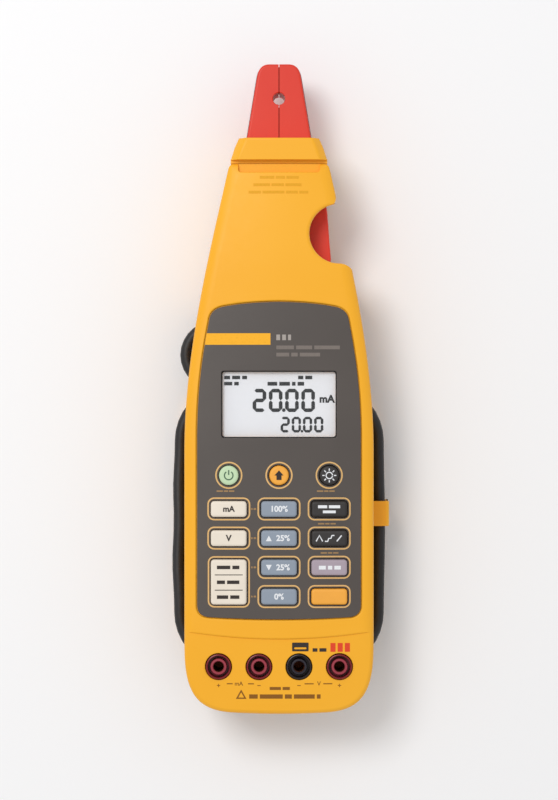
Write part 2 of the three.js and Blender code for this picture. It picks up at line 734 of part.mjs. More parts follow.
const leadGrommet = () =>
  join(barAlongX(-100.2, 7.3, 3.4, 2.5, -12.6, -3.7), barAlongX(-100.2, 7.3, 3.8, 3.8, -12.7, -10.6));

// A clip that hooks over the wound lead at the right.
function cableRetainer() {
  const hook = new THREE.Shape([
    new THREE.Vector2(31, PLATE_Z + 0.4),
    new THREE.Vector2(41.1, PLATE_Z + 0.4),
    new THREE.Vector2(41.1, 6.4),
    new THREE.Vector2(42.3, 5.6),
    new THREE.Vector2(42.3, 21.4),
    new THREE.Vector2(41.5, 22.3),
    new THREE.Vector2(31, 22.3),
  ]);
  const geometry = new THREE.ExtrudeGeometry(hook, { depth: 9.6, bevelEnabled: false });
  geometry.rotateX(Math.PI / 2);
  geometry.translate(0, -43.7, 0);
  return toSolid(geometry);
}

// ---------------------------------------------------------------- assembly
const group = new THREE.Group();

function piece(name, solid, color, roughness = 0.5, metalness = 0) {
  const material = new THREE.MeshStandardMaterial({ color, roughness, metalness });
  const mesh = new THREE.Mesh(toGeometry(solid), material);
  mesh.name = name;
  group.add(mesh);
}

const YELLOW = 0xf9b83a;
const RED = 0xe0503e;
const BLACK = 0x1c1b1d;
const STEEL = 0xb8bcc0;
const BRASS = 0xc9a24c;

piece("front_case", frontCase(), YELLOW);
piece("rear_case", rearCase(), YELLOW);
piece("battery_door", batteryDoor(), YELLOW);
for (const [name, y] of Object.entries(DOOR_SCREWS)) piece(name, doorScrew(y), STEEL, 0.35, 1);
CASE_SCREWS.forEach(([x, y], i) => piece(`case_screw_${i + 1}`, caseScrew(x, y), STEEL, 0.35, 1));
piece("keypad_panel", keypadPanel(), 0x4b4644, 0.6);
piece("display_lens", box(-23, 23, -20.5, 7.4, 40.5, 41.1), 0xdfe6ea, 0.1);
piece("lcd_module", box(-24, 24, -21.4, 8.3, 37.6, 39.1), 0xe1e1e6, 0.3);
piece("lcd_backlight", box(-23, 23, -20.8, 7.7, 36.5, 37.3), 0xf2f2ee, 0.4);
piece("main_board", mainBoard(), 0x1f6b3c, 0.5);
piece("keypad_mat", keypadMat(), 0x8d8f93, 0.8);
for (const key of KEYS) piece(key.name, keySolid(key), KEY_COLOURS[key.colour], 0.6);
JACK_X.forEach((x, i) => {
  piece(`jack_housing_${i + 1}`, jackHousing(x), i === 2 ? BLACK : 0x7d1a1e, 0.4);
  piece(`jack_sleeve_${i + 1}`, jackSleeve(x), BRASS, 0.3, 1);
});
for (let i = 0; i < 4; i += 1) piece(`battery_cell_${i + 1}`, batteryCell(i), 0x2b2d31, 0.35, 0.4);
piece("battery_contact_left", batteryContact(-1), STEEL, 0.3, 1);
piece("battery_contact_right", batteryContact(1), STEEL, 0.3, 1);

piece("probe_front_shell", probeFrontShell(), YELLOW);
piece("probe_rear_shell", probeRearShell(), YELLOW);
piece("fixed_jaw", fixedJaw(), RED, 0.45);
piece("moving_jaw", movingJaw(), RED, 0.45);
piece("fixed_core_upper", fixedCore(93, 172), 0x6d7075, 0.4, 1);
piece("fixed_core_lower", fixedCore(188, 267), 0x6d7075, 0.4, 1);
piece("hall_sensor", hallSensor(), BLACK, 0.5);
piece("moving_core", movingCore(), 0x6d7075, 0.4, 1);
piece("jaw_pivot_pin", bar(...PIVOT, 1.5, 10.4, 33.8, 12), STEEL, 0.3, 1);
piece("jaw_spring", wireAlong(new SpringWire(), 0.45, 60, 6), STEEL, 0.3, 1);
piece("probe_board", box(-10, 2, 28, 72, 20, 21.6), 0x1f6b3c, 0.5);

piece("lead", leadSolid(), BLACK, 0.6);
piece("probe_strain_relief", probeStrainRelief(), BLACK, 0.6);
piece("lead_grommet", leadGrommet(), BLACK, 0.6);
piece("cable_retainer", cableRetainer(), YELLOW);

export default group;
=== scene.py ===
import math

import bmesh
import bpy
from mathutils import Matrix, Vector


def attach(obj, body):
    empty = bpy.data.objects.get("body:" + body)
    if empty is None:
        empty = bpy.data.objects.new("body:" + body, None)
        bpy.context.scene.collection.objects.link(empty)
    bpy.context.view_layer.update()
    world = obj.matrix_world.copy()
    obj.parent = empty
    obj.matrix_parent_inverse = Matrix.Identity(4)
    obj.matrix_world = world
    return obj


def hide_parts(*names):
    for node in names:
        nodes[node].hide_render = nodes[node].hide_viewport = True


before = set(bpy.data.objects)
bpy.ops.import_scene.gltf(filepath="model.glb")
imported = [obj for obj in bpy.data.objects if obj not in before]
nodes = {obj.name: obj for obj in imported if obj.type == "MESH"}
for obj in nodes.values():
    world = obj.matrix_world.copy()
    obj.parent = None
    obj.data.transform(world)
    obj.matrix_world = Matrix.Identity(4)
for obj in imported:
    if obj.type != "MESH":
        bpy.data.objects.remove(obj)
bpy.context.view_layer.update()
MM = 0.001


# ---- Studio --------------------------------------------------
# The meter lies on its back on a pale table. The camera hangs straight above its face, and a
# broad soft light stands beyond the jaws at the left, so shadows fall gently to the right.

FACE_Z = 42
VIEW_HEIGHT = 299.6
CAMERA_RISE = 800
VIEW_CENTRE = -4.9
scene = bpy.context.scene
scene.view_settings.view_transform = "Standard"

studio_lens = bpy.data.cameras.new("studio_camera")
studio_lens.angle = 2 * math.atan(VIEW_HEIGHT / 2 / CAMERA_RISE)
studio_lens.clip_start = 0.05
camera = bpy.data.objects.new("studio_camera", studio_lens)
camera.location = (0, VIEW_CENTRE * MM, (FACE_Z + CAMERA_RISE) * MM)
scene.collection.objects.link(camera)
scene.camera = camera


def soft_light(name, place, aim, size, watts):
    """A square area light that faces a point."""
    lamp = bpy.data.lights.new(name, "AREA")
    lamp.size = size
    lamp.energy = watts
    holder = bpy.data.objects.new(name, lamp)
    holder.location = place
    holder.rotation_euler = (Vector(aim) - Vector(place)).to_track_quat("-Z", "Y").to_euler()
    scene.collection.objects.link(holder)


soft_light("key_light", place=(-0.42, 0.44, 1.15), aim=(0, 0, 0.02), size=0.45, watts=6.8)
world = bpy.data.worlds.new("studio")
scene.world = world
world.use_nodes = True
world.node_tree.nodes["Background"].inputs["Color"].default_value = (1, 1, 1, 1)
world.node_tree.nodes["Background"].inputs["Strength"].default_value = 0.66


class Value:
    """A shader socket that can be added to, multiplied and compared."""

    def __init__(self, finish, socket):
        self.finish = finish
        self.socket = socket

    def _math(self, operation, first, second):
        return self.finish.node("Math", {"operation": operation}, {0: first, 1: second})

    def __add__(self, other):
        return self._math("ADD", self, other)

    def __mul__(self, other):
        return self._math("MULTIPLY", self, other)

    __radd__ = __add__
    __rmul__ = __mul__

    def above(self, edge, softness):
        """Rises from 0 to 1 as the value passes an edge."""
        limits = {"From Min": edge - softness, "From Max": edge + softness}
        return self.finish.node("MapRange", {"interpolation_type": "SMOOTHSTEP"}, {"Value": self, **limits})


def srgb(code):
    """A colour's linear values from its eight-bit ones."""
    channels = [(code >> shift & 255) / 255 for shift in (16, 8, 0)]
    return tuple(c / 12.92 if c <= 0.04045 else ((c + 0.055) / 1.055) ** 2.4 for c in channels) + (1,)


class Finish:
    """A procedural material on one Principled shader."""

    def __init__(self, name, color, roughness, **fixed):
        self.material = bpy.data.materials.new(name)
        self.material.use_nodes = True
        self.tree = self.material.node_tree
        self.shader = self.tree.nodes["Principled BSDF"]
        self.shader.inputs["Base Color"].default_value = color
        self.shader.inputs["Roughness"].default_value = roughness
        for socket, value in fixed.items():
            self.shader.inputs[socket.replace("_", " ")].default_value = value
        self.place = self.node("TexCoord", {}, {}, "Object")

    def node(self, kind, settings, values, output=0):
        """Adds a node: its settings are set first, then what its sockets hold or are linked to."""
        made = self.tree.nodes.new("ShaderNode" + kind)
        for setting, value in settings.items():
            setattr(made, setting, value)
        for key, value in values.items():
            if isinstance(value, Value):
                self.tree.links.new(value.socket, made.inputs[key])
            else:
                made.inputs[key].default_value = value
        return Value(self, made.outputs[output])

    def noise(self, per_metre, detail=3.0, stretch=None):
        """Cloudy noise from 0 to 1, with so many lumps to a metre."""
        place = self.place
        if stretch:
            place = self.node("Mapping", {}, {"Vector": place, "Scale": stretch})
        return self.node("TexNoise", {}, {"Vector": place, "Scale": per_metre, "Detail": detail})

    def mix(self, mask, low, high):
        """A colour that goes from low to high with a mask."""
        return self.node("Mix", {"data_type": "RGBA"}, {0: mask, 6: low, 7: high}, 2)

    def feed(self, **values):
        """Links values to sockets of the shader."""
        for socket, value in values.items():
            self.tree.links.new(value.socket, self.shader.inputs[socket.replace("_", " ")])
        return self

    def cloud(self, lumps, low, high, detail=2):
        """Lets the colour drift between two shades."""
        return self.feed(Base_Color=self.mix(self.noise(lumps, detail), low, high))

    def uneven(self, least, spread, lumps, *noise):
        """Lets the roughness vary from its least value by up to a spread."""
        return self.feed(Roughness=least + spread * self.noise(lumps, *noise))

    def bump(self, height, depth, strength):
        """Raises the surface by up to a depth in metres."""
        raised = self.node("Bump", {}, {"Strength": strength, "Distance": depth, "Height": height})
        return self.feed(Normal=raised)


table = bmesh.new()
bmesh.ops.create_grid(table, x_segments=1, y_segments=1, size=3)
table_mesh = bpy.data.meshes.new("table_top")
table.to_mesh(table_mesh)
table.free()
table_top = bpy.data.objects.new("table_top", table_mesh)
scene.collection.objects.link(table_top)
table_paint = Finish("table_paint", srgb(0xF7F7F8), 0.75)
table_paint.bump(table_paint.noise(160), 0.0002, 0.2)
table_mesh.materials.append(table_paint.material)


# ---- Lead ----------------------------------------------------
# A soft black rubber lead, 4.4 mm thick. It leaves the probe's strain relief, makes a loop at
# the left, winds round the spool in three layers and goes back into the case at its foot.

LEAD_R = 2.2
LEAD_HALF = 38.3
LEAD_TOP = -0.7
LEAD_FOOT = -106.8
LEAD_CORNER = 20
LEAD_LAYERS = (16.9, 12.1, 7.3)
LEAD_EXIT = (-24.3, 23.5, 15)
LEAD_ENTRY = (-3.4, -100.2, 7.3)
RIGHT_SWING = (0.5, 0.15, 0.9)
LEFT_SWING = (1.3, 0.6)


def arc(x, y, r, start, end, count):
    """Points on a circle between two angles in degrees."""
    angles = [math.radians(start + (end - start) * i / count) for i in range(count + 1)]
    return [(x + r * math.cos(a), y + r * math.sin(a)) for a in angles]


def lead_route():
    """The lead's centreline, from the strain relief to the grommet."""
    route = [LEAD_EXIT, (-25, 23.5, 15)]
    route += [(x, y, 15.6) for x, y in arc(-25, 12.5, 11, 90, 270, 14)[1:]]
    route += [(-21, 1, 15.9), (-12, 0.4, 16.4), (-5, -0.3, 16.8)]
    inner = LEAD_HALF - LEAD_CORNER
    high, low = LEAD_TOP - LEAD_CORNER, LEAD_FOOT + LEAD_CORNER
    # The turns never lie quite straight: each layer swings out a little at another place.
    along = [i / 12 for i in range(1, 12)]
    swing = [0.5 - 0.5 * math.cos(2 * math.pi * i / 12) for i in range(1, 12)]
    for layer, z in enumerate(LEAD_LAYERS):
        route += [(0, LEAD_TOP, z)]
        route += [(x, y, z) for x, y in arc(inner, high, LEAD_CORNER, 90, 0, 9)]
        for s, t in zip(swing, along):
            route.append((LEAD_HALF + RIGHT_SWING[layer] * s, high + (low - high) * t, z))
        route += [(x, y, z) for x, y in arc(inner, low, LEAD_CORNER, 0, -90, 9)]
        if z == LEAD_LAYERS[-1]:
            break
        route += [(0, LEAD_FOOT, z)]
        route += [(x, y, z) for x, y in arc(-inner, low, LEAD_CORNER, 270, 180, 9)]
        drop = LEAD_LAYERS[layer + 1] - z
        for s, t in zip(swing, along):
            wave = s if layer else math.sin(math.pi * t) ** 2 * (0.7 + 0.5 * math.sin(9 * t))
            climb = min(max((t - 0.1) / 0.8, 0), 1)
            spot = (-LEAD_HALF - LEFT_SWING[layer] * wave, low + (high - low) * t, z + drop * climb)
            route.append(spot)
        route += [(x, y, z + drop) for x, y in arc(-inner, high, LEAD_CORNER, 180, 90, 9)]
    return route + [(9, -104.4, 7.3), (4, -101.6, 7.3), (-1, -100.2, 7.3), LEAD_ENTRY]


lead_points = [tuple(c * MM for c in point) for point in lead_route()]
lead_curve = bpy.data.curves.new("lead_skin", "CURVE")
lead_curve.dimensions = "3D"
lead_line = lead_curve.splines.new("POLY")
lead_line.points.add(len(lead_points) - 1)
for spot, point in zip(lead_line.points, lead_points):
    spot.co = (*point, 1)
lead_curve.bevel_depth = LEAD_R * MM
lead_curve.bevel_resolution = 5
lead_curve.use_fill_caps = True
lead_skin = bpy.data.objects.new("lead_skin", lead_curve)
scene.collection.objects.link(lead_skin)

rubber = Finish("black_rubber", srgb(0x1A191B), 0.5)
rubber.cloud(90, srgb(0x151416), srgb(0x262426), 3).uneven(0.42, 0.2, 400)
rubber.bump(rubber.noise(1800), 0.00004, 0.5)
lead_curve.materials.append(rubber.material)
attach(lead_skin, "meter")
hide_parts("lead")


# ---- Front case ----------------------------------------------
# The front half of the case, moulded in yellow plastic: a narrow head that reaches round the
# docked probe, a finger notch at its right, and a crowned face with a bed for the keypad panel.
# It is raised from its outline, rounded, carved, and then crowned.

HEAD_Y = 84
HEAD_HALF = 18.67
FOOT_Y = -123
CASE_HALF = 35.6
PARTING_Z = 24
HEAD_FOOT_Y = 29.6
HEAD_REAR_Z = 6.5
FACE_WALL_Z = 39.4
FACE_RIM = (4.4, 3.4)
WALL = 2.4
DOCK_GAP = 0.6
DOCK_Z = 36.7
NOTCH = (22.6, 57.6)
NOTCH_R = 11.2
NOTCH_DRAFT = 3.0
TROUGH = (0, 85.4, 30.8, 9.4, 1.2)
TROUGH_Z = 38.2
BED_Z = 41.1
SKIN_Z = 37
WINDOW = (-21.6, 21.6, -19.1, 6)
LENS_BED = (-23.3, 23.3, -20.8, 7.7)
TRIGGER_ROOM = [(7, 42.2), (17.8, 42.2), (20.8, 45.4), (19.2, 69), (16.2, 79), (7, 79)]
JACK_X = (-22.7, -7.5, 7.5, 22.7)
JACK_Y = -105
JACK_R = 4.75
KEY_COLUMN = 18.8
KEY_ROW = 10.93
FIRST_ROW = -45.7
ROUND_ROW = -33.1
KEY_WIDE = 13.4
KEY_HIGH = 5.9
KEY_ROUND_R = 3.65


def bezier(a, b, c, d, count):
    """Points on a cubic curve, without its first one."""
    steps = [i / count for i in range(1, count + 1)]
    shares = [((1 - t) ** 3, 3 * t * (1 - t) ** 2, 3 * t * t * (1 - t), t**3) for t in steps]
    return [tuple(sum(s * p[k] for s, p in zip(share, (a, b, c, d))) for k in (0, 1)) for share in shares]


def quadratic(a, b, c, count):
    """Points on a curve pulled towards its middle point, without its first one."""
    pull = [tuple(p[k] + (b[k] - p[k]) * 2 / 3 for k in (0, 1)) for p in (a, c)]
    return bezier(a, *pull, c, count)


def mirrored(right):
    """A closed outline from its right half, which runs from the top centre to the bottom centre."""
    return right + [(-x, y) for x, y in reversed(right) if abs(x) > 1e-6]


def rounded(x, y, wide, high, r, count=6):
    """A rectangle with round corners."""
    points = []
    for right, up, start in ((1, -1, -90), (1, 1, 0), (-1, 1, 90), (-1, -1, 180)):
        centre = (x + right * (wide / 2 - r), y + up * (high / 2 - r))
        points += arc(*centre, r, start, start + 90, count)
    return points


def disc(x, y, r, count=40):
    return arc(x, y, r, 0, 360, count)[:-1]


def offset(outline, distance):
    """An outline moved outwards by a distance, or inwards when it is negative."""
    ahead = outline[1:] + outline[:1]
    side = 1 if sum(a[0] * b[1] - b[0] * a[1] for a, b in zip(outline, ahead)) > 0 else -1
    moved = []
    for before, point, after in zip(outline[-1:] + outline, outline, ahead):
        first = Vector((point[1] - before[1], before[0] - point[0])).normalized() * side
        second = Vector((after[1] - point[1], point[0] - after[0])).normalized() * side
        middle = (first + second).normalized()
        moved.append(tuple(Vector(point) + middle * (distance / middle.dot(first))))
    return moved


def stack(outline, up, down=()):
    """A closed solid in millimetres, raised from an outline. up and down are steps of
    (inwards, height) that draw the top or the bottom face in and move it there. The first step of
    up is the height at which the outline lies."""
    bm = bmesh.new()
    bottom = bm.faces.new([bm.verts.new((x, y, up[0][1])) for x, y in outline])
    raised = bmesh.ops.extrude_face_region(bm, geom=[bottom])["geom"]
    top = next(part for part in raised if isinstance(part, bmesh.types.BMFace))
    for face, steps in ((top, up[1:]), (bottom, down)):
        for order, (inwards, height) in enumerate(steps):
            if inwards or order or face is bottom:
                bmesh.ops.inset_region(bm, faces=[face], thickness=inwards, use_even_offset=True)
            for vert in face.verts:
                vert.co.z = height
    bmesh.ops.recalc_face_normals(bm, faces=bm.faces)
    return bm


def quarter(steps):
    """Pairs of neighbouring angles that divide a right angle evenly."""
    turns = [math.pi / 2 * i / steps for i in range(steps + 1)]
    return list(zip(turns, turns[1:]))


def rim(height, wide, high, steps=5):
    """Steps that round a rim off, so wide and so high. high is negative for a lower rim."""
    return [
        (wide * (math.cos(a) - math.cos(b)), height - high * (1 - math.sin(b))) for a, b in quarter(steps)
    ]


def slab(outline, low, high, round_low=0, round_high=0, steps=4):
    """A flat moulding between two heights, with round rims."""
    up = [(0, low + round_low), (0, high - round_high)]
    up += rim(high, round_high, round_high, steps) if round_high else []
    return stack(outline, up, rim(low, round_low, -round_low, steps) if round_low else ())


def opening(outline, low, top, roll=0.3, steps=3):
    """A cutter that leaves a rolled edge where it comes out of a face at a height."""
    down = [
        (roll * (math.sin(b) - math.sin(a)), top - roll * (1 - math.cos(b))) for a, b in quarter(steps)
    ]
    return stack(offset(outline, roll), [(0, top), (0, top + 8)], down + [(0, low)])


def block(x0, x1, y0, y1, z0, z1):
    """A plain box between two corners."""
    return slab([(x0, y0), (x1, y0), (x1, y1), (x0, y1)], z0, z1)


def thing(name, bm):
    """A bmesh as an object."""
    mesh = bpy.data.meshes.new(name)
    bm.to_mesh(mesh)
    bm.free()
    made = bpy.data.objects.new(name, mesh)
    scene.collection.objects.link(made)
    return made


def settled(source):
    """A new mesh of what an object's curve or modifiers make."""
    graph = bpy.context.evaluated_depsgraph_get()
    return bpy.data.meshes.new_from_object(source.evaluated_get(graph))


def carve(piece, *tools, operation="DIFFERENCE"):
    """Cuts, joins or keeps what is common with each tool, and drops the tools."""
    for tool in tools:
        cutter = thing("tool", tool) if isinstance(tool, bmesh.types.BMesh) else tool
        modifier = piece.modifiers.new("carve", "BOOLEAN")
        modifier.operation = operation
        modifier.solver = "EXACT"
        modifier.object = cutter
        mesh = settled(piece)
        piece.modifiers.clear()
        piece.data = mesh
        bpy.data.objects.remove(cutter)
    return piece


def fall(x, y):
    """How far the face lies below its highest line: the head and the foot drop ever faster towards
    their ends, and every cross-section is an arch as wide as the case is there."""
    head = 2.6 * (max(y - 42, 0) / 48) ** 1.9
    foot = 2.0 * (max(-94 - y, 0) / 36) ** 1.2
    half = CASE_HALF - 15.8 * (max(y + 24, 0) / 103) ** 1.55
    return 1.3 * (x / half) ** 2 + head + foot


def crown(piece, across=12, along=36):
    """Bends what lies at the face to follow its crown."""
    bm = bmesh.new()
    bm.from_mesh(piece.data)
    xs = [vert.co.x for vert in bm.verts]
    ys = [vert.co.y for vert in bm.verts]
    cuts = [((1, 0, 0), min(xs) + (max(xs) - min(xs)) * i / across) for i in range(1, across)]
    cuts += [((0, 1, 0), min(ys) + (max(ys) - min(ys)) * i / along) for i in range(1, along)]
    for normal, at in cuts:
        parts = bm.verts[:] + bm.edges[:] + bm.faces[:]
        bmesh.ops.bisect_plane(bm, geom=parts, dist=1e-4, plane_co=Vector(normal) * at, plane_no=normal)
    for vert in bm.verts:
        share = min(max((vert.co.z - SKIN_Z) / (FACE_Z - SKIN_Z), 0), 1)
        vert.co.z -= share * fall(vert.co.x, vert.co.y)
    bm.to_mesh(piece.data)
    bm.free()
    return piece


def dress(piece, finish, slot, *replaced, body="meter", angle=32):
    """Takes a piece from millimetres to metres, gives it its finish and joins it to its body."""
    bm = bmesh.new()
    bm.from_mesh(piece.data)
    bmesh.ops.remove_doubles(bm, verts=bm.verts, dist=1e-3)
    bmesh.ops.dissolve_degenerate(bm, edges=bm.edges, dist=1e-3)
    bmesh.ops.recalc_face_normals(bm, faces=bm.faces)
    bmesh.ops.scale(bm, vec=(MM, MM, MM), verts=bm.verts)
    for face in bm.faces:
        face.smooth = True
    bm.to_mesh(piece.data)
    bm.free()
    piece.data.set_sharp_from_angle(angle=math.radians(angle))
    piece.data.materials.clear()
    piece.data.materials.append(finish.material)
    weigh = piece.modifiers.new("even_light", "WEIGHTED_NORMAL")
    weigh.keep_sharp = True
    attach(piece, body)
    if replaced:
        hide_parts(*replaced)
    return piece


def case_outline(corner=0.0):
    """The case from the front, with its top corners sharp or rounded off."""
    right = [(0, HEAD_Y), (4.5, HEAD_Y), (9, HEAD_Y)]
    sharp = (HEAD_HALF, HEAD_Y)
    ends = ((HEAD_HALF - corner, HEAD_Y), (HEAD_HALF + 0.22 * corner, HEAD_Y - corner))
    right += [ends[0]] + quadratic(ends[0], sharp, ends[1], 8) if corner else [sharp]
    right += [(19.8, HEAD_Y - 5)]
    right += bezier((19.8, HEAD_Y - 5), (26.8, 48), (CASE_HALF, 12), (CASE_HALF, -24), 32)
    right += [(CASE_HALF, -24 - 74 * i / 6) for i in range(1, 7)]
    right += bezier((CASE_HALF, -98), (CASE_HALF, -115), (31, -121.6), (18, FOOT_Y + 0.5), 24)
    right += quadratic((18, FOOT_Y + 0.5), (9, FOOT_Y), (0, FOOT_Y), 5)
    return mirrored(right)


def panel_outline():
    """The dark panel: an arched top, sides that follow the case, and a slightly bowed bottom."""
    right = [(0, 31.9)] + quadratic((0, 31.9), (13, 31.7), (21.4, 30), 8)
    right += quadratic((21.4, 30), (25.4, 29), (26.1, 25.6), 8)
    right += bezier((26.1, 25.6), (27.8, 16), (30.7, 3), (30.7, -20), 14)
    right += [(30.7, -81.8)] + quadratic((30.7, -81.8), (30.7, -86), (26.2, -86.3), 8)
    return mirrored(right + quadratic((26.2, -86.3), (13, -87), (0, -87), 8))


def probe_outline():
    """The probe's handle."""
    right = [(0, 86.4), (16.8, 86.4), (16.6, 80)]
    right += bezier((16.6, 80), (14.4, 62), (12.6, 52), (12.6, 38), 14)
    right += [(12.6, 21)] + quadratic((12.6, 21), (12.6, 17), (8.6, 17), 8) + [(0, 17)]
    return mirrored(right)


def notch_outline():
    """Everything right of the edge of the finger notch."""
    foot = NOTCH[1] - NOTCH_R
    points = [(44, 65.2)] + arc(*NOTCH, NOTCH_R, 80, 270, 40)
    return points + quadratic((NOTCH[0], foot), (26.8, foot), (29.6, 41), 8) + [(44, 30)]


def key_row(row):
    """The height of a row of keys on the face. A half lies between two rows."""
    return FIRST_ROW - KEY_ROW * row


TALL = KEY_HIGH + KEY_ROW
KEYS = [
    ("power", -KEY_COLUMN, ROUND_ROW, 0),
    ("function", 0, ROUND_ROW, 0),
    ("backlight", KEY_COLUMN, ROUND_ROW, 0),
    ("measure", -KEY_COLUMN, key_row(0), KEY_HIGH),
    ("source", -KEY_COLUMN, key_row(1), KEY_HIGH),
    ("loop", -KEY_COLUMN, key_row(2.5), TALL),
    ("percent_100", 0, key_row(0), KEY_HIGH),
    ("step_up", 0, key_row(1), KEY_HIGH),
    ("step_down", 0, key_row(2), KEY_HIGH),
    ("percent_0", 0, key_row(3), KEY_HIGH),
    ("span", KEY_COLUMN, key_row(0), KEY_HIGH),
    ("ramp", KEY_COLUMN, key_row(1), KEY_HIGH),
    ("setup", KEY_COLUMN, key_row(2), KEY_HIGH),
    ("blank", KEY_COLUMN, key_row(3), KEY_HIGH),
]


def key_outline(x, y, high, margin=0.0):
    """A key's outline, grown by a margin all round."""
    if high:
        return rounded(x, y, KEY_WIDE + 2 * margin, high + 2 * margin, 1.2 + margin)
    return disc(x, y, KEY_ROUND_R + margin)


LEDGE_Y = -92.2
LEDGE_BOW = 2.4
LEDGE_Z = 41.2


def jack_field():
    """The lower ground round the jacks, below a bowed ledge."""
    ledge = [(x, LEDGE_Y - LEDGE_BOW * (1 - (x / 33) ** 2)) for x in range(-45, 46, 3)]
    return ledge + [(45, -140), (-45, -140)]


front = thing("front_case_moulding", stack(
    case_outline(),
    [(0, HEAD_REAR_Z + 1.5), (0, FACE_Z - FACE_RIM[1])] + rim(FACE_Z, *FACE_RIM, 7),
    rim(HEAD_REAR_Z, 1.5, -1.5, 3),
))
carve(front, slab(case_outline(2.2), -5, 60), operation="INTERSECT")
cavity = [point for point in offset(case_outline(), -WALL) if point[1] < HEAD_FOOT_Y - WALL]
carve(front, block(-50, 50, -140, HEAD_FOOT_Y, 0, PARTING_Z + 0.15), slab(cavity, 20, FACE_WALL_Z))
carve(front, slab(offset(probe_outline(), DOCK_GAP), 0, DOCK_Z, 0, 0.4), slab(TRIGGER_ROOM, 0, 30))
carve(front, stack(offset(notch_outline(), NOTCH_DRAFT), [(0, -2), (0, 4), (NOTCH_DRAFT, 39)]))
spandrel = [(21.3, 72.2)] + quadratic((21.3, 72.2), (22, 68.7), (18.4, 67.98), 8) + [(25, 66), (25, 74)]
carve(front, slab(spandrel, -5, 60))
carve(front, opening(notch_outline(), 30, FACE_Z, 1.3, 5), opening(jack_field(), LEDGE_Z, FACE_Z, 0.8, 5))
carve(front, opening(rounded(*TROUGH), TROUGH_Z, FACE_Z, 0.5, 4))
carve(front, opening(offset(panel_outline(), 0.3), BED_Z, FACE_Z, 0.7, 4))
carve(front, block(*LENS_BED, 40.3, 50), block(*WINDOW, 35, 50))
for name, x, y, high in KEYS:
    carve(front, slab(key_outline(x, y, high, 0.3), 35, 50))
for x in JACK_X:
    carve(front, opening(disc(x, JACK_Y, JACK_R + 0.3), 20, LEDGE_Z, 0.35))
crown(front)

yellow = Finish("yellow_case_plastic", srgb(0xF6AF22), 0.42, Specular_IOR_Level=0.3)
yellow.cloud(22, srgb(0xF4AB1C), srgb(0xF8B42E)).uneven(0.38, 0.14, 260)
yellow.bump(yellow.noise(2600, 2), 0.00003, 0.6)
dress(front, yellow, "case_yellow", "front_case")


# ---- Rear case -----------------------------------------------
# The rear half, in the same yellow plastic: a plate, the spool block that the lead winds round,
# and a round-cornered cheek that keeps the lead on and is the face that the meter lies on.

PLATE_Z = 20
CHEEK_Z = 3.2
SPOOL = (0, -53.75, 71.2, 101.3, 17.6)
CHEEK = (0, -53, 76, 114, 20)
DOOR_BED = (0, -53.7, 60.8, 79.4, 2)
DOOR_SCREWS = (-18.6, -88.6)
CASE_SCREWS = [(-29, -11), (29, -11), (-29, -96), (29, -96)]
CELL_ROOM = (-28.8, 28.8, -84.6, -22.6)
GROMMET_ROOM = (-13, 21, -112, -95.2)
CLIP_ROOM = (30.6, 50, -53.6, -43.4)


def rod(x, y, r, low, high, count=32):
    """An upright round bar."""
    return slab(disc(x, y, r, count), low, high)


plate_outline = [point for point in case_outline() if point[1] < HEAD_FOOT_Y - 0.3]
rear = thing("rear_case_moulding", slab(plate_outline, PLATE_Z, PARTING_Z - 0.15, 0.7, 0))
carve(rear, slab(rounded(*SPOOL), CHEEK_Z - 0.5, PLATE_Z + 0.5), operation="UNION")
carve(rear, slab(rounded(*CHEEK, 9), 0, CHEEK_Z, 1.2, 1.0), operation="UNION")
rear_room = [point for point in offset(case_outline(), -WALL) if point[1] < 14.6]
carve(rear, slab(rear_room, PLATE_Z + 1.8, 50), slab(offset(probe_outline(), DOCK_GAP), -5, 50))
carve(rear, block(*CELL_ROOM, 2, 18), slab(rounded(*DOOR_BED), -2, 2.2))
carve(rear, block(*GROMMET_ROOM, CHEEK_Z, 11.4), block(*CLIP_ROOM, PLATE_Z + 0.1, 22.6))
for x, y in CASE_SCREWS:
    carve(rear, rod(x, y, 3.1, -1, 8.1), rod(x, y, 1.7, 0, 50, 16))
for y in DOOR_SCREWS:
    carve(rear, rod(0, y, 1.5, 0, 11, 16))
dress(rear, yellow, "case_yellow", "rear_case")


# ---- Battery door --------------------------------------------
# A flat yellow lid let into the cheek over the batteries. Two countersunk screws hold it, and
# five shallow grooves across its middle give a thumb some grip.

DOOR = (0, -53.7, 60, 78.6, 1.6)


def turned(profile, x=0.0, y=0.0, steps=48):
    """A turned solid about a line along Z. A profile that keeps off the axis closes on itself."""
    bm = bmesh.new()
    verts = [bm.verts.new((r, 0, z)) for r, z in profile]
    pairs = list(zip(verts, verts[1:]))
    if profile[0][0] > 0:
        pairs.append((verts[-1], verts[0]))
    edges = [bm.edges.new(pair) for pair in pairs]
    turn = {"cent": (0, 0, 0), "axis": (0, 0, 1), "angle": 2 * math.pi, "steps": steps}
    bmesh.ops.spin(bm, geom=verts + edges, use_merge=True, use_duplicate=False, **turn)
    bmesh.ops.remove_doubles(bm, verts=bm.verts, dist=1e-4)
    bmesh.ops.recalc_face_normals(bm, faces=bm.faces)
    bmesh.ops.translate(bm, vec=(x, y, 0), verts=bm.verts)
    return bm


door = thing("battery_door_lid", slab(rounded(*DOOR), 0, 1.9, 0.4, 0.3))
for y in range(-44, -61, -4):
    carve(door, slab(rounded(0, y, 18, 1.4, 0.69, 4), -1, 0.5))
for y in DOOR_SCREWS:
    carve(door, turned([(0, -1), (3, -1), (3, 0.9), (1.6, 1.3), (1.6, 5), (0, 5)], 0, y, 32))
dress(door, yellow, "case_yellow", "battery_door")


# ---- Screws --------------------------------------------------
# Zinc-plated cross-head screws, all driven from the back: four pan heads deep in the cheek hold
# the case together, and two countersunk ones hold the battery door.


def cross_slot(x, y, long, short, low, high):
    """The two bars that cut a cross into a screw's head."""
    return [
        block(x - wide, x + wide, y - tall, y + tall, low, high)
        for wide, tall in ((long, short), (short, long))
    ]


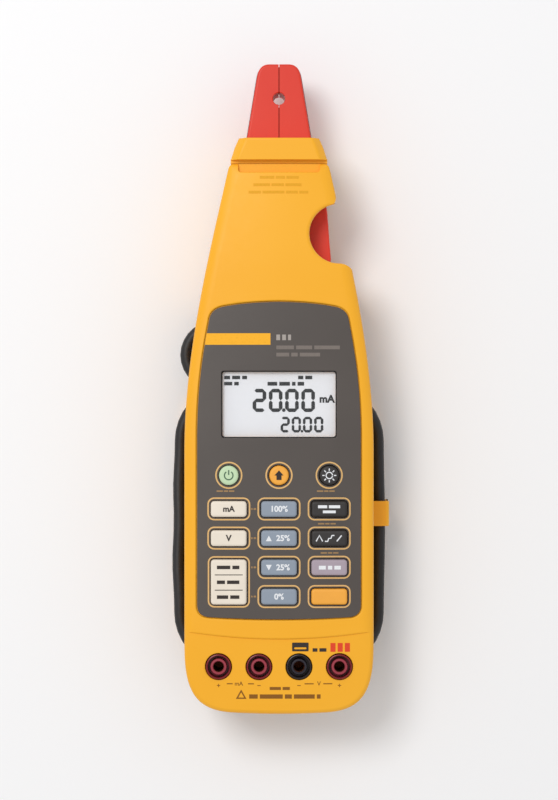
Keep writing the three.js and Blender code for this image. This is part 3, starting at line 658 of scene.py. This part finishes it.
zinc = Finish("zinc_plated_steel", srgb(0xB9BDC0), 0.32, Metallic=1.0)
zinc.uneven(0.24, 0.2, 900)
zinc.bump(zinc.noise(1500, stretch=(1, 1, 8)), 0.00001, 0.5)
PAN = [(0, 5.6), (1.6, 5.6), (2.25, 5.75), (2.6, 6.2), (2.6, 7.2), (1.4, 7.2), (1.4, 32.8), (0, 33.6)]
COUNTERSUNK = [(0, 0.15), (2.45, 0.15), (2.6, 0.3), (2.6, 0.6), (1.2, 1.1), (1.2, 9.2), (0, 10)]
for number, (x, y) in enumerate(CASE_SCREWS, 1):
    screw = thing(f"case_screw_head_{number}", turned(PAN, x, y, 32))
    carve(screw, *cross_slot(x, y, 1.56, 0.35, 4.6, 6.5))
    dress(screw, zinc, "screw_steel", f"case_screw_{number}")
for end, y in zip(("top", "bottom"), DOOR_SCREWS):
    screw = thing(f"door_screw_head_{end}", turned(COUNTERSUNK, 0, y, 32))
    carve(screw, *cross_slot(0, y, 1.6, 0.3, -1, 0.7))
    dress(screw, zinc, "screw_steel", f"battery_door_screw_{end}")


# ---- Keypad panel --------------------------------------------
# A dark grey plate bedded in the crowned face, with a window for the display and a hole for
# every key. Thin tan rings, links and dashes are printed on it, and one plain yellow strip.

PANEL_Z = 42.2
DISPLAY_Y = -6.55
INK = 0.05
RING = 0.55

panel = thing("keypad_panel_plate", slab(panel_outline(), BED_Z + 0.3, PANEL_Z, 0, 0.2, 3))
carve(panel, opening(rounded(0, DISPLAY_Y, 43.2, 25.1, 0.8, 4), 40, PANEL_Z, 0.25))
for name, x, y, high in KEYS:
    carve(panel, opening(key_outline(x, y, high, 0.3), 40, PANEL_Z, 0.12))
crown(panel)
panel_grey = Finish("panel_grey_plastic", srgb(0x4E4743), 0.5)
panel_grey.cloud(30, srgb(0x47403C), srgb(0x554D48)).uneven(0.4, 0.14, 500)
panel_grey.bump(panel_grey.noise(3200, 2), 0.00003, 0.7)
dress(panel, panel_grey, "panel_grey", "keypad_panel")


def together(solids):
    """Several solids that don't touch, in one bmesh."""
    whole = bmesh.new()
    for solid in solids:
        part = bpy.data.meshes.new("part")
        solid.to_mesh(part)
        solid.free()
        whole.from_mesh(part)
        bpy.data.meshes.remove(part)
    return whole


def shade(color, by):
    """A colour made darker or lighter."""
    return tuple(channel * by for channel in color[:3]) + (1,)


def ink(name, rgb):
    """A matt printing ink that has worn a little thin in places. The same matt finish also serves as
    painted shade for the head's embossed lettering.
    """
    made = Finish(name, rgb, 0.6, Specular_IOR_Level=0.2)
    thin = made.noise(1400, 2).above(0.62, 0.12)
    made.feed(Base_Color=made.mix(0.2 * thin, rgb, shade(rgb, 0.6)))
    return made.uneven(0.5, 0.2, 700)


def printed(name, outlines, at, finish, slot, body="meter", crowned=True, holes=()):
    """A thin layer of ink with these outlines, on a face at a height. Most layers are print; the one on the
    head is painted shade of embossed lettering.
    """
    layer = thing(name, together([slab(outline, at - INK, at + INK) for outline in outlines]))
    if holes:
        carve(layer, together([slab(outline, at - 1, at + 1) for outline in holes]))
    if crowned:
        crown(layer, 8, 24)
    return dress(layer, finish, slot, body=body)


def dashes(x, y, high, *lengths):
    """A row of short bars from a point at its left, with small gaps."""
    bars = []
    for length in lengths:
        bars.append([(x, y), (x + length, y), (x + length, y + high), (x, y + high)])
        x += length + min(high * 0.6, 0.8)
    return bars


tan = ink("tan_ink", srgb(0xE4B878))
margins = {0: 1.45, KEY_HIGH: 1.35, TALL: 1.2}
rings = [key_outline(x, y, high, margins[high]) for name, x, y, high in KEYS]
ring_holes = [key_outline(x, y, high, margins[high] - RING) for name, x, y, high in KEYS]
printed("key_rings", rings, PANEL_Z, tan, "panel_grey", holes=ring_holes)
links = []
for row in range(4):
    links += dashes(-10.4, key_row(row) - 0.35, 0.7, 0.5, 0.9)
for x, y in ((-23.4, -39.3), (14.2, -39.3), (14.6, key_row(0.5) - 0.35), (15.6, key_row(1.5) - 0.35)):
    links += dashes(x, y, 0.55, 2.4, 1.6, 2.0)
printed("tan_panel_marks", links, PANEL_Z, ink("faded_tan_ink", srgb(0xA5835A)), "panel_grey")
amber_ink = ink("amber_ink", srgb(0xF9B42C))
STRIP = [(-27.8, 15.8), (-3.2, 15.8), (-3.2, 20.1), (-27.1, 20.1)]
printed("plain_strip", [STRIP], PANEL_Z, amber_ink, "case_yellow")
captions = dashes(-1, 17.5, 2.1, 1.4, 1.4, 1.1)
printed("pale_caption", captions, PANEL_Z, ink("pale_grey_ink", srgb(0xA8A09A)), "panel_grey")
captions = dashes(-1, 14.1, 1.4, 6.6, 6.0, 9.6) + dashes(-1, 11.4, 1.4, 4.8, 2.4, 7.6)
printed("faint_captions", captions, PANEL_Z, ink("faint_grey_ink", srgb(0x7C736D)), "panel_grey")


# ---- Display -------------------------------------------------
# A pale liquid-crystal glass under a clear window. Its digits are dark segments, the words are
# replaced by plain dashes, and the window has a thin dark border printed round its edge.

LCD_Z = 39.1
LENS_Z = 41.1


def hexagon(x, y, long, thick, upright):
    """One segment of a digit, pointed at both ends."""
    a, b = long / 2, thick / 2
    points = [(-a, 0), (-a + b, -b), (a - b, -b), (a, 0), (a - b, b), (-a + b, b)]
    return [(x - v, y + u) if upright else (x + u, y + v) for u, v in points]


def digit(x, y, wide, high, thick, lit):
    """A seven-segment digit from its lower left corner."""
    left, right = x + thick / 2, x + wide - thick / 2
    low, mid, top = y + thick / 2, y + high / 2, y + high - thick / 2
    across, along = wide - thick * 1.02, high / 2 - thick * 0.54
    centre = x + wide / 2
    places = {
        "a": (centre, top, across, thick, False),
        "b": (right, (mid + top) / 2, along, thick, True),
        "c": (right, (mid + low) / 2, along, thick, True),
        "d": (centre, low, across, thick, False),
        "e": (left, (mid + low) / 2, along, thick, True),
        "f": (left, (mid + top) / 2, along, thick, True),
        "g": (centre, mid, across, thick, False),
    }
    return [hexagon(*places[name]) for name in lit]


def reading(x, y, pitch, wide, high, thick):
    """The reading 20.00 from its lower left corner."""
    marks = []
    for place, lit in enumerate(("abged", "abcdef", "abcdef", "abcdef")):
        marks += digit(x + pitch * place, y, wide, high, thick, lit)
    marks.append(disc(x + pitch + wide + (pitch - wide) / 2, y + thick / 2, thick * 0.5, 12))
    return marks


def lettering(text, x, y, size, at, weight=0.0):
    """A unit or a number as a thin solid, centred on a point."""
    curve = bpy.data.curves.new("lettering", "FONT")
    curve.body = text
    curve.size = size
    curve.align_x = "CENTER"
    curve.align_y = "CENTER"
    curve.extrude = INK
    curve.offset = weight
    holder = bpy.data.objects.new("lettering", curve)
    scene.collection.objects.link(holder)
    mesh = settled(holder)
    bpy.data.objects.remove(holder)
    bm = bmesh.new()
    bm.from_mesh(mesh)
    bmesh.ops.remove_doubles(bm, verts=bm.verts, dist=1e-4)
    bmesh.ops.translate(bm, vec=(x, y, at), verts=bm.verts)
    return bm


glass = thing("lcd_glass", slab(rounded(0, DISPLAY_Y, 48, 29.7, 0.5, 3), 37.6, LCD_Z, 0, 0.1, 2))
lcd_grey = Finish("liquid_crystal_grey", srgb(0xE8E9EE), 0.35)
lcd_grey.cloud(60, srgb(0xE4E5EA), srgb(0xF1F1F4)).uneven(0.3, 0.1, 900)
dress(glass, lcd_grey, "lcd_grey", "lcd_module")
segment_ink = ink("segment_black", srgb(0x121214))
words = dashes(-20.6, 2.9, 1.3, 2.2, 3.0, 1.8) + dashes(-20.6, 0.6, 1.3, 3.0, 1.7)
words += dashes(7.2, 2.9, 1.3, 1.9, 2.6) + dashes(-4.3, 0.5, 1.4, 3.6, 4.0, 1.3, 2.4)
figures = words + reading(-9.9, -9.4, 6.1, 5.1, 8.7, 1.35) + reading(0.6, -17.1, 4.2, 3.45, 5.9, 0.95)
printed("lcd_segments", figures, LCD_Z + INK, segment_ink, "lcd_grey", crowned=False)
unit = thing("lcd_unit", lettering("mA", 18.0, -4.6, 3.9, LCD_Z + INK, 0.16))
dress(unit, segment_ink, "lcd_grey")

lens = thing("window_lens", slab(rounded(0, DISPLAY_Y, 46, 27.9, 0.6, 4), 40.5, LENS_Z, 0, 0.1, 2))
crown(lens, 8, 6)
clear = Finish("clear_acrylic", srgb(0xE9EEF2), 0.08, Alpha=0.03)
clear.uneven(0.06, 0.06, 300)
dress(lens, clear, "lens_clear", "display_lens")
border = ink("window_border", srgb(0x2E2C2D))
printed(
    "lens_border", [rounded(0, DISPLAY_Y, 45.6, 27.5, 0.6, 4)], LENS_Z, border, "lens_clear",
    holes=[rounded(0, DISPLAY_Y, 42.4, 24.3, 0.9, 4)],
)


# ---- Keys ----------------------------------------------------
# Fourteen soft-touch caps, each on a flange that the front wall holds in, so each one travels on
# its own. Legends are printed on their tops: units and numbers stay, words become plain dashes.

KEY_Z = 43.6
FLANGE = 0.9
FLANGE_Z = (38.4, 39.1)
KEY_RIM = (1.0, 0.7)
KEY_COLORS = {
    "green": (0xC3DCB4, ("power",)),
    "amber": (0xF3A93A, ("function", "blank")),
    "black": (0x2A2625, ("backlight", "span", "ramp")),
    "cream": (0xEADFCF, ("measure", "source", "loop")),
    "slate": (0x8D98A6, ("percent_100", "step_up", "step_down", "percent_0")),
    "mauve": (0xA99BA6, ("setup",)),
}


def soft_touch(name, rgb):
    """Moulded silicone rubber with a satin skin."""
    made = Finish(name, rgb, 0.55)
    made.cloud(120, shade(rgb, 0.93), shade(rgb, 1.06)).uneven(0.46, 0.16, 600)
    return made.bump(made.noise(2400, 2), 0.00003, 0.5)


def stroke(points, wide):
    """A line of even width through points."""
    sides = []
    for sign in (1, -1):
        side = []
        for i, point in enumerate(points):
            before, after = points[max(i - 1, 0)], points[min(i + 1, len(points) - 1)]
            along = (Vector(after) - Vector(before)).normalized()
            side.append((point[0] - along.y * wide / 2 * sign, point[1] + along.x * wide / 2 * sign))
        sides.append(side[::sign])
    return sides[0] + sides[1]


cap_steps = [(0, FLANGE_Z[0]), (0, FLANGE_Z[1]), (FLANGE, FLANGE_Z[1]), (0, KEY_Z - KEY_RIM[1])]
cap_steps += rim(KEY_Z, *KEY_RIM)
for color, (code, names) in KEY_COLORS.items():
    finish = soft_touch(f"{color}_key_rubber", srgb(code))
    for name, x, y, high in KEYS:
        if name in names:
            cap = thing(f"{name}_cap_top", stack(key_outline(x, y, high, FLANGE), cap_steps))
            dress(cap, finish, f"key_{color}", f"key_{name}", body=f"key_{name}_cap")

dark_ink = ink("dark_ink", srgb(0x3A3330))
white_ink = ink("white_ink", srgb(0xE9EBEE))
LEFT_X, RIGHT_X = -KEY_COLUMN, KEY_COLUMN


def legend(name, finish, outlines=(), words=()):
    """What is printed on a key, which moves with its cap."""
    color = next(color for color, (code, names) in KEY_COLORS.items() if name in names)
    solids = [slab(outline, KEY_Z - INK, KEY_Z + INK) for outline in outlines]
    solids += [lettering(*word, KEY_Z, 0.1) for word in words]
    dress(thing(f"{name}_legend", together(solids)), finish, f"key_{color}", body=f"key_{name}_cap")


power_mark = [
    stroke(arc(LEFT_X, ROUND_ROW, 1.6, 125, 415, 24), 0.45),
    stroke([(LEFT_X, ROUND_ROW + 0.2), (LEFT_X, ROUND_ROW + 2)], 0.45),
]
legend("power", ink("green_ink", srgb(0x4E6C55)), power_mark)
arrow = [(-1.7, 0), (0, 1.9), (1.7, 0), (0.95, 0), (0.95, -1.7), (-0.95, -1.7), (-0.95, 0)]
legend("function", dark_ink, [[(x, ROUND_ROW + y) for x, y in arrow]])
sun = [stroke(arc(RIGHT_X, ROUND_ROW, 1.2, 0, 350, 24), 0.4)]
for step in range(8):
    away = Vector((math.cos(math.pi / 4 * step), math.sin(math.pi / 4 * step)))
    ray = [Vector((RIGHT_X, ROUND_ROW)) + away * r for r in (1.75, 2.6)]
    sun.append(stroke([tuple(end) for end in ray], 0.4))
legend("backlight", white_ink, sun)

legend("measure", dark_ink, words=[("mA", LEFT_X, key_row(0), 3.0)])
legend("source", dark_ink, words=[("V", LEFT_X, key_row(1), 3.2)])
loop_marks = []
for rise, lengths in ((4.9, (5.0, 2.6)), (-0.65, (3.0, 4.6)), (-6.2, (4.2, 3.4))):
    loop_marks += dashes(LEFT_X - 4.4, key_row(2.5) + rise, 1.3, *lengths)
for rise in (2.6, -3.1):
    loop_marks += dashes(LEFT_X - 5.2, key_row(2.5) + rise, 0.3, 10.4)
legend("loop", dark_ink, loop_marks)

legend("percent_100", white_ink, words=[("100%", 0, key_row(0), 3.0)])
legend("percent_0", white_ink, words=[("0%", 0, key_row(3), 3.0)])
for name, row, tip in (("step_up", 1, 1.05), ("step_down", 2, -1.05)):
    y = key_row(row)
    pointer = [(-4.9, y - tip), (-2.7, y - tip), (-3.8, y + tip)]
    legend(name, white_ink, [pointer if tip > 0 else pointer[::-1]], [("25%", 1.5, y, 3.0)])

span_marks = dashes(RIGHT_X - 4.2, key_row(0) + 0.35, 1.1, 3.4, 4.2)
legend("span", white_ink, span_marks + dashes(RIGHT_X - 2.4, key_row(0) - 1.5, 1.0, 4.8))
waves = (
    [(-4.9, 0), (-3.7, 2.2), (-2.5, 0)],
    [(-1.6, 0), (-0.6, 0), (-0.2, 1.1), (0.6, 1.1), (1.0, 2.2), (1.9, 2.2)],
    [(2.8, 0), (4.6, 2.2)],
)
ramp_marks = [stroke([(RIGHT_X + x, key_row(1) - 1.1 + y) for x, y in wave], 0.45) for wave in waves]
legend("ramp", white_ink, ramp_marks)
legend("setup", white_ink, dashes(RIGHT_X - 3.9, key_row(2) - 0.7, 1.4, 2.6, 1.6, 2.4))


# ---- Jacks ---------------------------------------------------
# Four shrouded banana sockets in a row: a plastic cup with a hollow post in its middle, which
# holds a brass sleeve. Units, signs and tags are printed round them in thin ink on the case. The
# three faint lines on the head stand for lettering embossed in the case's own yellow: their darker
# ink is painted shade of the raised letters.

RIM_Z = 40.9
CUP = [
    (2.75, 25.5), (JACK_R, 25.5), (JACK_R, RIM_Z - 0.35), (JACK_R - 0.12, RIM_Z - 0.1),
    (JACK_R - 0.35, RIM_Z), (4.3, RIM_Z), (4.1, RIM_Z - 0.2), (4.1, 36), (3.05, 36), (3.05, RIM_Z - 0.8),
    (2.85, RIM_Z - 0.55), (2.3, RIM_Z - 0.5), (2.05, RIM_Z - 0.75), (2.05, 39.9), (2.75, 39.6),
]


def gloss(name, rgb):
    """Hard glossy plastic."""
    made = Finish(name, rgb, 0.3)
    return made.cloud(200, shade(rgb, 0.9), shade(rgb, 1.1)).uneven(0.26, 0.14, 700)


cup_red = gloss("dark_red_socket_plastic", srgb(0x780F1A))
post_red = gloss("red_post_plastic", srgb(0x9C3644))
cup_black = gloss("black_socket_plastic", srgb(0x221416))
post_black = gloss("black_post_plastic", srgb(0x1C1724))
POST_R = 3.2
BLACK_JACK = 3
for number, x in enumerate(JACK_X, 1):
    black = number == BLACK_JACK
    cup = thing(f"jack_cup_{number}", turned(CUP, x, JACK_Y))
    slot_name = "jack_black" if black else "jack_red"
    dress(cup, cup_black if black else cup_red, slot_name, f"jack_housing_{number}")
    cup.data.materials.append((post_black if black else post_red).material)
    for face in cup.data.polygons:
        across = face.center.xy - Vector((x, JACK_Y)) * MM
        face.material_index = int(across.length < POST_R * MM)
brown_ink = ink("brown_ink", srgb(0x8A5A1E))
jack_lines = dashes(-3.5, -113.7, 1.1, 4.2, 2.7) + dashes(-11.2, -117.0, 1.6, 3.2, 8.6, 2.6, 7.8, 1.4)
for x, length in ((-19.6, 2.2), (-11.6, 2.2), (9.6, 3.4), (16.6, 3.4)):
    jack_lines += dashes(x, -111.6, 0.4, length)
printed("jack_lines", jack_lines, LEDGE_Z, brown_ink, "case_yellow")
MARKS = (("mA", -15.1), ("V", 15), ("+", -22.7), ("−", -7.5), ("−", 7.5), ("+", 22.7))
for number, (word, x) in enumerate(MARKS, 1):
    y, size = (-111.4, 2.2) if word.isalpha() else (-112.2, 2.6)
    mark = thing(f"jack_mark_{number}", lettering(word, x, y, size, LEDGE_Z, 0.03))
    dress(crown(mark, 2, 2), brown_ink, "case_yellow")
warning = [(-16.2, -117.1), (-12.2, -117.1), (-14.2, -113.6)]
inside = [(-15.3, -116.6), (-13.1, -116.6), (-14.2, -114.6)]
printed("warning_triangle", [warning], LEDGE_Z, brown_ink, "case_yellow", holes=[inside])
dark_marks = [rounded(8, -97.5, 6.2, 3.3, 0.3, 3)] + dashes(12.6, -99.3, 1.3, 1.8, 2.6)
tag_hole = [rounded(8, -98, 4.6, 0.7, 0.3, 3)]
printed("black_tag", dark_marks, LEDGE_Z, dark_ink, "case_yellow", holes=tag_hole)
red_marks = dashes(19.3, -99.35, 3.3, 1.9, 1.9, 1.9)
printed("red_tag", red_marks, LEDGE_Z, ink("red_ink", srgb(0xE2492B)), "case_yellow")
# The head's lettering is embossed in the case's own yellow; these darker marks are painted shade of its
# raised letters, not print.
emboss_shade_marks = dashes(-7.2, 78.2, 1, 5.4, 3.4, 4.6) + dashes(-9.6, 75.4, 1, 6.2, 4.6, 6)
emboss_shade_marks += dashes(-11.4, 72.6, 1, 4.6, 8.2, 4.4, 3.4)
emboss_shade_ink = ink("painted_emboss_shade", srgb(0xE6A424))
printed("painted_emboss_shade_marks", emboss_shade_marks, FACE_Z, emboss_shade_ink, "case_yellow")


# ---- Clamp probe ---------------------------------------------
# The probe docks behind the head. Its two yellow shells meet on one plane and end in a finger
# barrier, which stands proud of the case at the root of the jaws.

PROBE_FRONT_Z = 36.2
PROBE_REAR_Z = 8.5
PROBE_SPLIT_Z = 22
PROBE_RIM = 2.4
PROBE_WALL = 1.8
JAW_REAR_Z = 15
JAW_FRONT_Z = 29
PIVOT = (6, 86)
PIN_ROOM_R = 1.8
SPRING_ROOM_R = 5.2
COLLAR_LOW = 85.4
COLLAR_TOP = 93.5
AXIS_TO_X = Matrix(((0, 0, 1, 0), (0, 1, 0, 0), (1, 0, 0, 0), (0, 0, 0, 1)))


def along_x(bm, y, z):
    """Lays a piece turned about Z along X instead, at a height."""
    bmesh.ops.transform(bm, matrix=AXIS_TO_X, verts=bm.verts)
    bmesh.ops.translate(bm, vec=(0, y, z), verts=bm.verts)
    bmesh.ops.recalc_face_normals(bm, faces=bm.faces)
    return bm


def probe_shell(name, low, high):
    """One shell: what of the whole probe lies between two heights."""
    shell = thing(name, stack(
        probe_outline(),
        [(0, PROBE_REAR_Z + PROBE_RIM), (0, PROBE_FRONT_Z - PROBE_RIM)]
        + rim(PROBE_FRONT_Z, PROBE_RIM, PROBE_RIM),
        rim(PROBE_REAR_Z, PROBE_RIM, -PROBE_RIM),
    ))
    collar = mirrored([(0, 96), (14, 96), (16.7, 90), (19.1, 82.4), (0, 82.4)])
    barrier = thing("barrier", stack(
        collar,
        [(0, 6.4), (0, 37.6), (0.3, 38.4), (1.9, 40.4), (0.7, 40.75), (0.6, 40.8)],
        rim(5, 1.4, -1.4, 4),
    ))
    carve(barrier, block(-30, 30, 80, COLLAR_LOW, 0, 50), block(-30, 30, COLLAR_TOP, 100, 0, 50))
    root = block(-18.2, 18.2, HEAD_Y + 0.2, COLLAR_LOW + 0.5, 6.6, 37.2)
    carve(shell, barrier, root, operation="UNION")
    inside = [point for point in offset(probe_outline(), -1.7) if point[1] < 82.4]
    carve(shell, slab(inside, PROBE_REAR_Z + PROBE_WALL, PROBE_FRONT_Z - PROBE_WALL))
    carve(shell, block(-12.6, 13.8, 80, 100, JAW_REAR_Z - 0.4, JAW_FRONT_Z + 0.4))
    carve(shell, slab(TRIGGER_ROOM, JAW_REAR_Z - 0.6, JAW_FRONT_Z + 0.6))
    carve(shell, rod(*NOTCH, NOTCH_R + 1, JAW_FRONT_Z + 0.5, 50, 48))
    carve(shell, rod(*PIVOT, PIN_ROOM_R, 10, 34.2), rod(*PIVOT, SPRING_ROOM_R, 22, 34.4))
    carve(shell, along_x(turned([(0, -20), (3.5, -20), (3.5, -8), (0, -8)]), *LEAD_EXIT[1:]))
    return carve(shell, block(-30, 30, 0, 110, low, high), operation="INTERSECT")


for side, low, high in (("front", PROBE_SPLIT_Z + 0.15, 50), ("rear", 0, PROBE_SPLIT_Z - 0.15)):
    shell = probe_shell(f"probe_{side}_moulding", low, high)
    dress(shell, yellow, "case_yellow", f"probe_{side}_shell")


# ---- Jaws ----------------------------------------------------
# Two red jaws with a thin dark bead close round one wire. The left one is fixed in the probe. The
# right one is one moulding with its lever and trigger, and swings on a steel pin against a
# torsion spring.

TIP_Y = 123
HOLE_Y = 109.8
HOLE_R = 2.3
SEAM = 0.15
REAR_RIM = 1.4
FRONT_RIM = 0.9
BEAD = (23.4, 24.6)
BEAD_OUT = 0.3
CORE_IN = 3.5
CORE_OUT = 7.5


def jaw_outline():
    """The two jaws together, tapering to a rounded tip."""
    right = [(0, TIP_Y), (3.6, TIP_Y)]
    right += bezier((3.6, TIP_Y), (6.4, TIP_Y), (7.9, 121.4), (8.4, 118), 10)
    return mirrored(right + [(12.2, 95), (12.2, 86), (0, 86)])


def soften(outline, r):
    """An outline with its corners rounded off."""
    points = []
    for before, corner, after in zip(outline[-1:] + outline, outline, outline[1:] + outline[:1]):
        here = Vector(corner)
        ends = []
        for other in (before, after):
            reach = Vector(other) - here
            ends.append(tuple(here + reach.normalized() * min(r, reach.length * 0.45)))
        points += [ends[0]] + quadratic(ends[0], corner, ends[1], 4)
    return points


def jaw_half(name, x0, x1):
    """One side of the pair, with the wire's hole."""
    both = stack(
        jaw_outline(),
        [(0, JAW_REAR_Z + REAR_RIM), (0, BEAD[0]), (-BEAD_OUT, BEAD[0]), (0, BEAD[1])]
        + [(BEAD_OUT, BEAD[1]), (0, JAW_FRONT_Z - FRONT_RIM)]
        + rim(JAW_FRONT_Z, FRONT_RIM, FRONT_RIM, 4),
        rim(JAW_REAR_Z, REAR_RIM, -REAR_RIM, 4),
    )
    jaw = carve(thing(name, both), opening(disc(0, HOLE_Y, HOLE_R, 48), 5, JAW_FRONT_Z, 0.35))
    return carve(jaw, block(x0, x1, 80, 130, 0, 50), operation="INTERSECT")


def core_pocket(start, end):
    """The room for a half ring of core round the hole."""
    ring = arc(0, HOLE_Y, CORE_OUT, start, end, 20) + arc(0, HOLE_Y, CORE_IN, end, start, 20)
    return slab(ring, 17.4, 26.6)


jaw_red = Finish("red_jaw_plastic", srgb(0xDC3A2A), 0.36, Specular_IOR_Level=0.3)
jaw_red.cloud(45, srgb(0xD83426), srgb(0xE04532)).uneven(0.3, 0.16, 350)
jaw_red.bump(jaw_red.noise(2400, 2), 0.00002, 0.5)

bead_dark = gloss("dark_bead", srgb(0x3C1E24))


def darken_bead(jaw):
    """Gives the thin bead round a jaw its own colour."""
    jaw.data.materials.append(bead_dark.material)
    for face in jaw.data.polygons:
        heights = [jaw.data.vertices[index].co.z / MM for index in face.vertices]
        face.material_index = int(min(heights) > BEAD[0] - 0.05 and max(heights) < BEAD[1] + 0.05)


TONGUE = (20.8, 23.2)
fixed = jaw_half("fixed_jaw_moulding", -20, -SEAM)
carve(fixed, block(-12.2, -1.6, 76.5, 88, JAW_REAR_Z, JAW_FRONT_Z), operation="UNION")
carve(fixed, core_pocket(90, 270))
for low, high in ((93.2, 107.2), (112.4, 122.7)):
    carve(fixed, block(-0.6, 0.5, low, high, *TONGUE), operation="UNION")
dress(fixed, jaw_red, "jaw_red", "fixed_jaw")
darken_bead(fixed)

LEVER = [
    (4, 90), (1.6, 84), (8.8, 70.4), (9.6, 66), (9.6, 45.2), (17.6, 45.2), (19.9, 47.2), (18.3, 67.8),
    (14.9, 77.5), (12.2, 89),
]
moving = jaw_half("moving_jaw_moulding", SEAM, 20)
carve(moving, slab(soften(LEVER, 1.6), JAW_REAR_Z, JAW_FRONT_Z, 0.8, 0.8), operation="UNION")
carve(moving, rod(11.4, 75.6, 0.9, JAW_FRONT_Z - 1, 32.6, 20), operation="UNION")
carve(moving, core_pocket(-90, 90), rod(*PIVOT, 1.7, 0, 50))
for low, high in ((92.9, 107.4), (112.2, 122.85)):
    carve(moving, block(-0.2, 0.9, low, high, TONGUE[0] - 0.3, TONGUE[1] + 0.3))
dress(moving, jaw_red, "jaw_red", "moving_jaw", body="jaw_lever")
darken_bead(moving)


# ---- Lead fittings -------------------------------------------
# Black rubber fittings at both ends of the lead, a ribbed strain relief on the probe and a
# grommet in the case, and the yellow clip that hooks over the wound lead at the right.


def ribbed(profile, start, end, r_start, r_end, count):
    """A profile that goes on in even ribs between two places along the axis."""
    pitch = (end - start) / count
    for i in range(count):
        at = start + pitch * i
        r = r_start + (r_end - r_start) * i / count
        profile += [(r, at), (r, at + pitch * 0.55)]
        profile += [(r - 0.5, at + pitch * 0.65), (r - 0.5, at + pitch * 0.95)]
    return profile


relief = [(0, -9), (3.6, -9), (3.8, -9.3), (3.8, -10.5), (3.2, -10.7), (3.2, -13), (3.9, -13)]
relief = ribbed(relief, -13.4, -23.6, 3.9, 2.9, 6) + [(2.5, -24), (2.5, -24.3), (0, -24.3)]
relief_piece = thing("strain_relief_boot", along_x(turned(relief), *LEAD_EXIT[1:]))
dress(relief_piece, rubber, "lead_black", "probe_strain_relief")
grommet = [
    (0, -12.7), (3.6, -12.7), (3.8, -12.5), (3.8, -10.8), (3.4, -10.6), (3.3, -8), (2.9, -7.8),
    (2.9, -6.6), (3.0, -6.4), (2.6, -3.9), (2.4, -3.7), (0, -3.7),
]
grommet_piece = thing("lead_grommet_boot", along_x(turned(grommet), *LEAD_ENTRY[1:]))
dress(grommet_piece, rubber, "lead_black", "lead_grommet")

HOOK = [(31, 20.4), (41.1, 20.4), (41.1, 6.4), (42.3, 5.6), (42.3, 21.4), (41.5, 22.3), (31, 22.3)]
hook = slab(soften(HOOK, 0.5), 43.7, 53.3, 0.4, 0.4)
quarter_turn = Matrix.Rotation(math.pi / 2, 3, "X")
bmesh.ops.rotate(hook, cent=(0, 0, 0), matrix=quarter_turn, verts=hook.verts)
dress(thing("lead_clip", hook), yellow, "case_yellow", "cable_retainer")


# ---- Works ---------------------------------------------------
# What is inside keeps the shape of its design: boards, batteries and their contacts, the key mat,
# the backlight, the jacks' sleeves, and the pin, spring, cores and sensor of the jaws.


def coat(finish, *names):
    """Gives nodes of the design a finish."""
    for name in names:
        for material_slot in nodes[name].material_slots:
            material_slot.material = finish.material


coat(zinc, "jaw_pivot_pin", "jaw_spring", "battery_contact_left", "battery_contact_right")
board = Finish("green_board", srgb(0x1F6B3C), 0.4)
board_tracks = board.noise(500, 1, (1, 0.2, 1)).above(0.52, 0.02)
board.feed(Base_Color=board.mix(board_tracks, srgb(0x1B6338), srgb(0x2C7D49)))
coat(board, "main_board", "probe_board")
coat(soft_touch("grey_silicone", srgb(0x8D8F93)), "keypad_mat")
diffuser = Finish("white_diffuser", srgb(0xF2F2EE), 0.45)
diffuser.uneven(0.4, 0.15, 500)
coat(diffuser, "lcd_backlight")
brass = Finish("dull_brass", srgb(0x6E3E26), 0.5, Metallic=1.0)
brass.uneven(0.45, 0.2, 1200)
coat(brass, *(f"jack_sleeve_{number}" for number in (1, 2, 3, 4)))
wrap = Finish("cell_wrap", srgb(0x2B2D31), 0.35)
wrap_band = wrap.noise(8, 0).above(0.5, 0.02)
wrap.feed(Base_Color=wrap.mix(wrap_band, srgb(0x2B2D31), srgb(0xB8792E)))
coat(wrap, *(f"battery_cell_{number}" for number in (1, 2, 3, 4)))
core = Finish("core_steel", srgb(0x6D7075), 0.4, Metallic=1.0)
core.uneven(0.32, 0.2, 1500, 2, (1, 1, 12))
coat(core, "fixed_core_upper", "fixed_core_lower", "moving_core")
coat(gloss("sensor_epoxy", srgb(0x1C1B1D)), "hall_sensor")
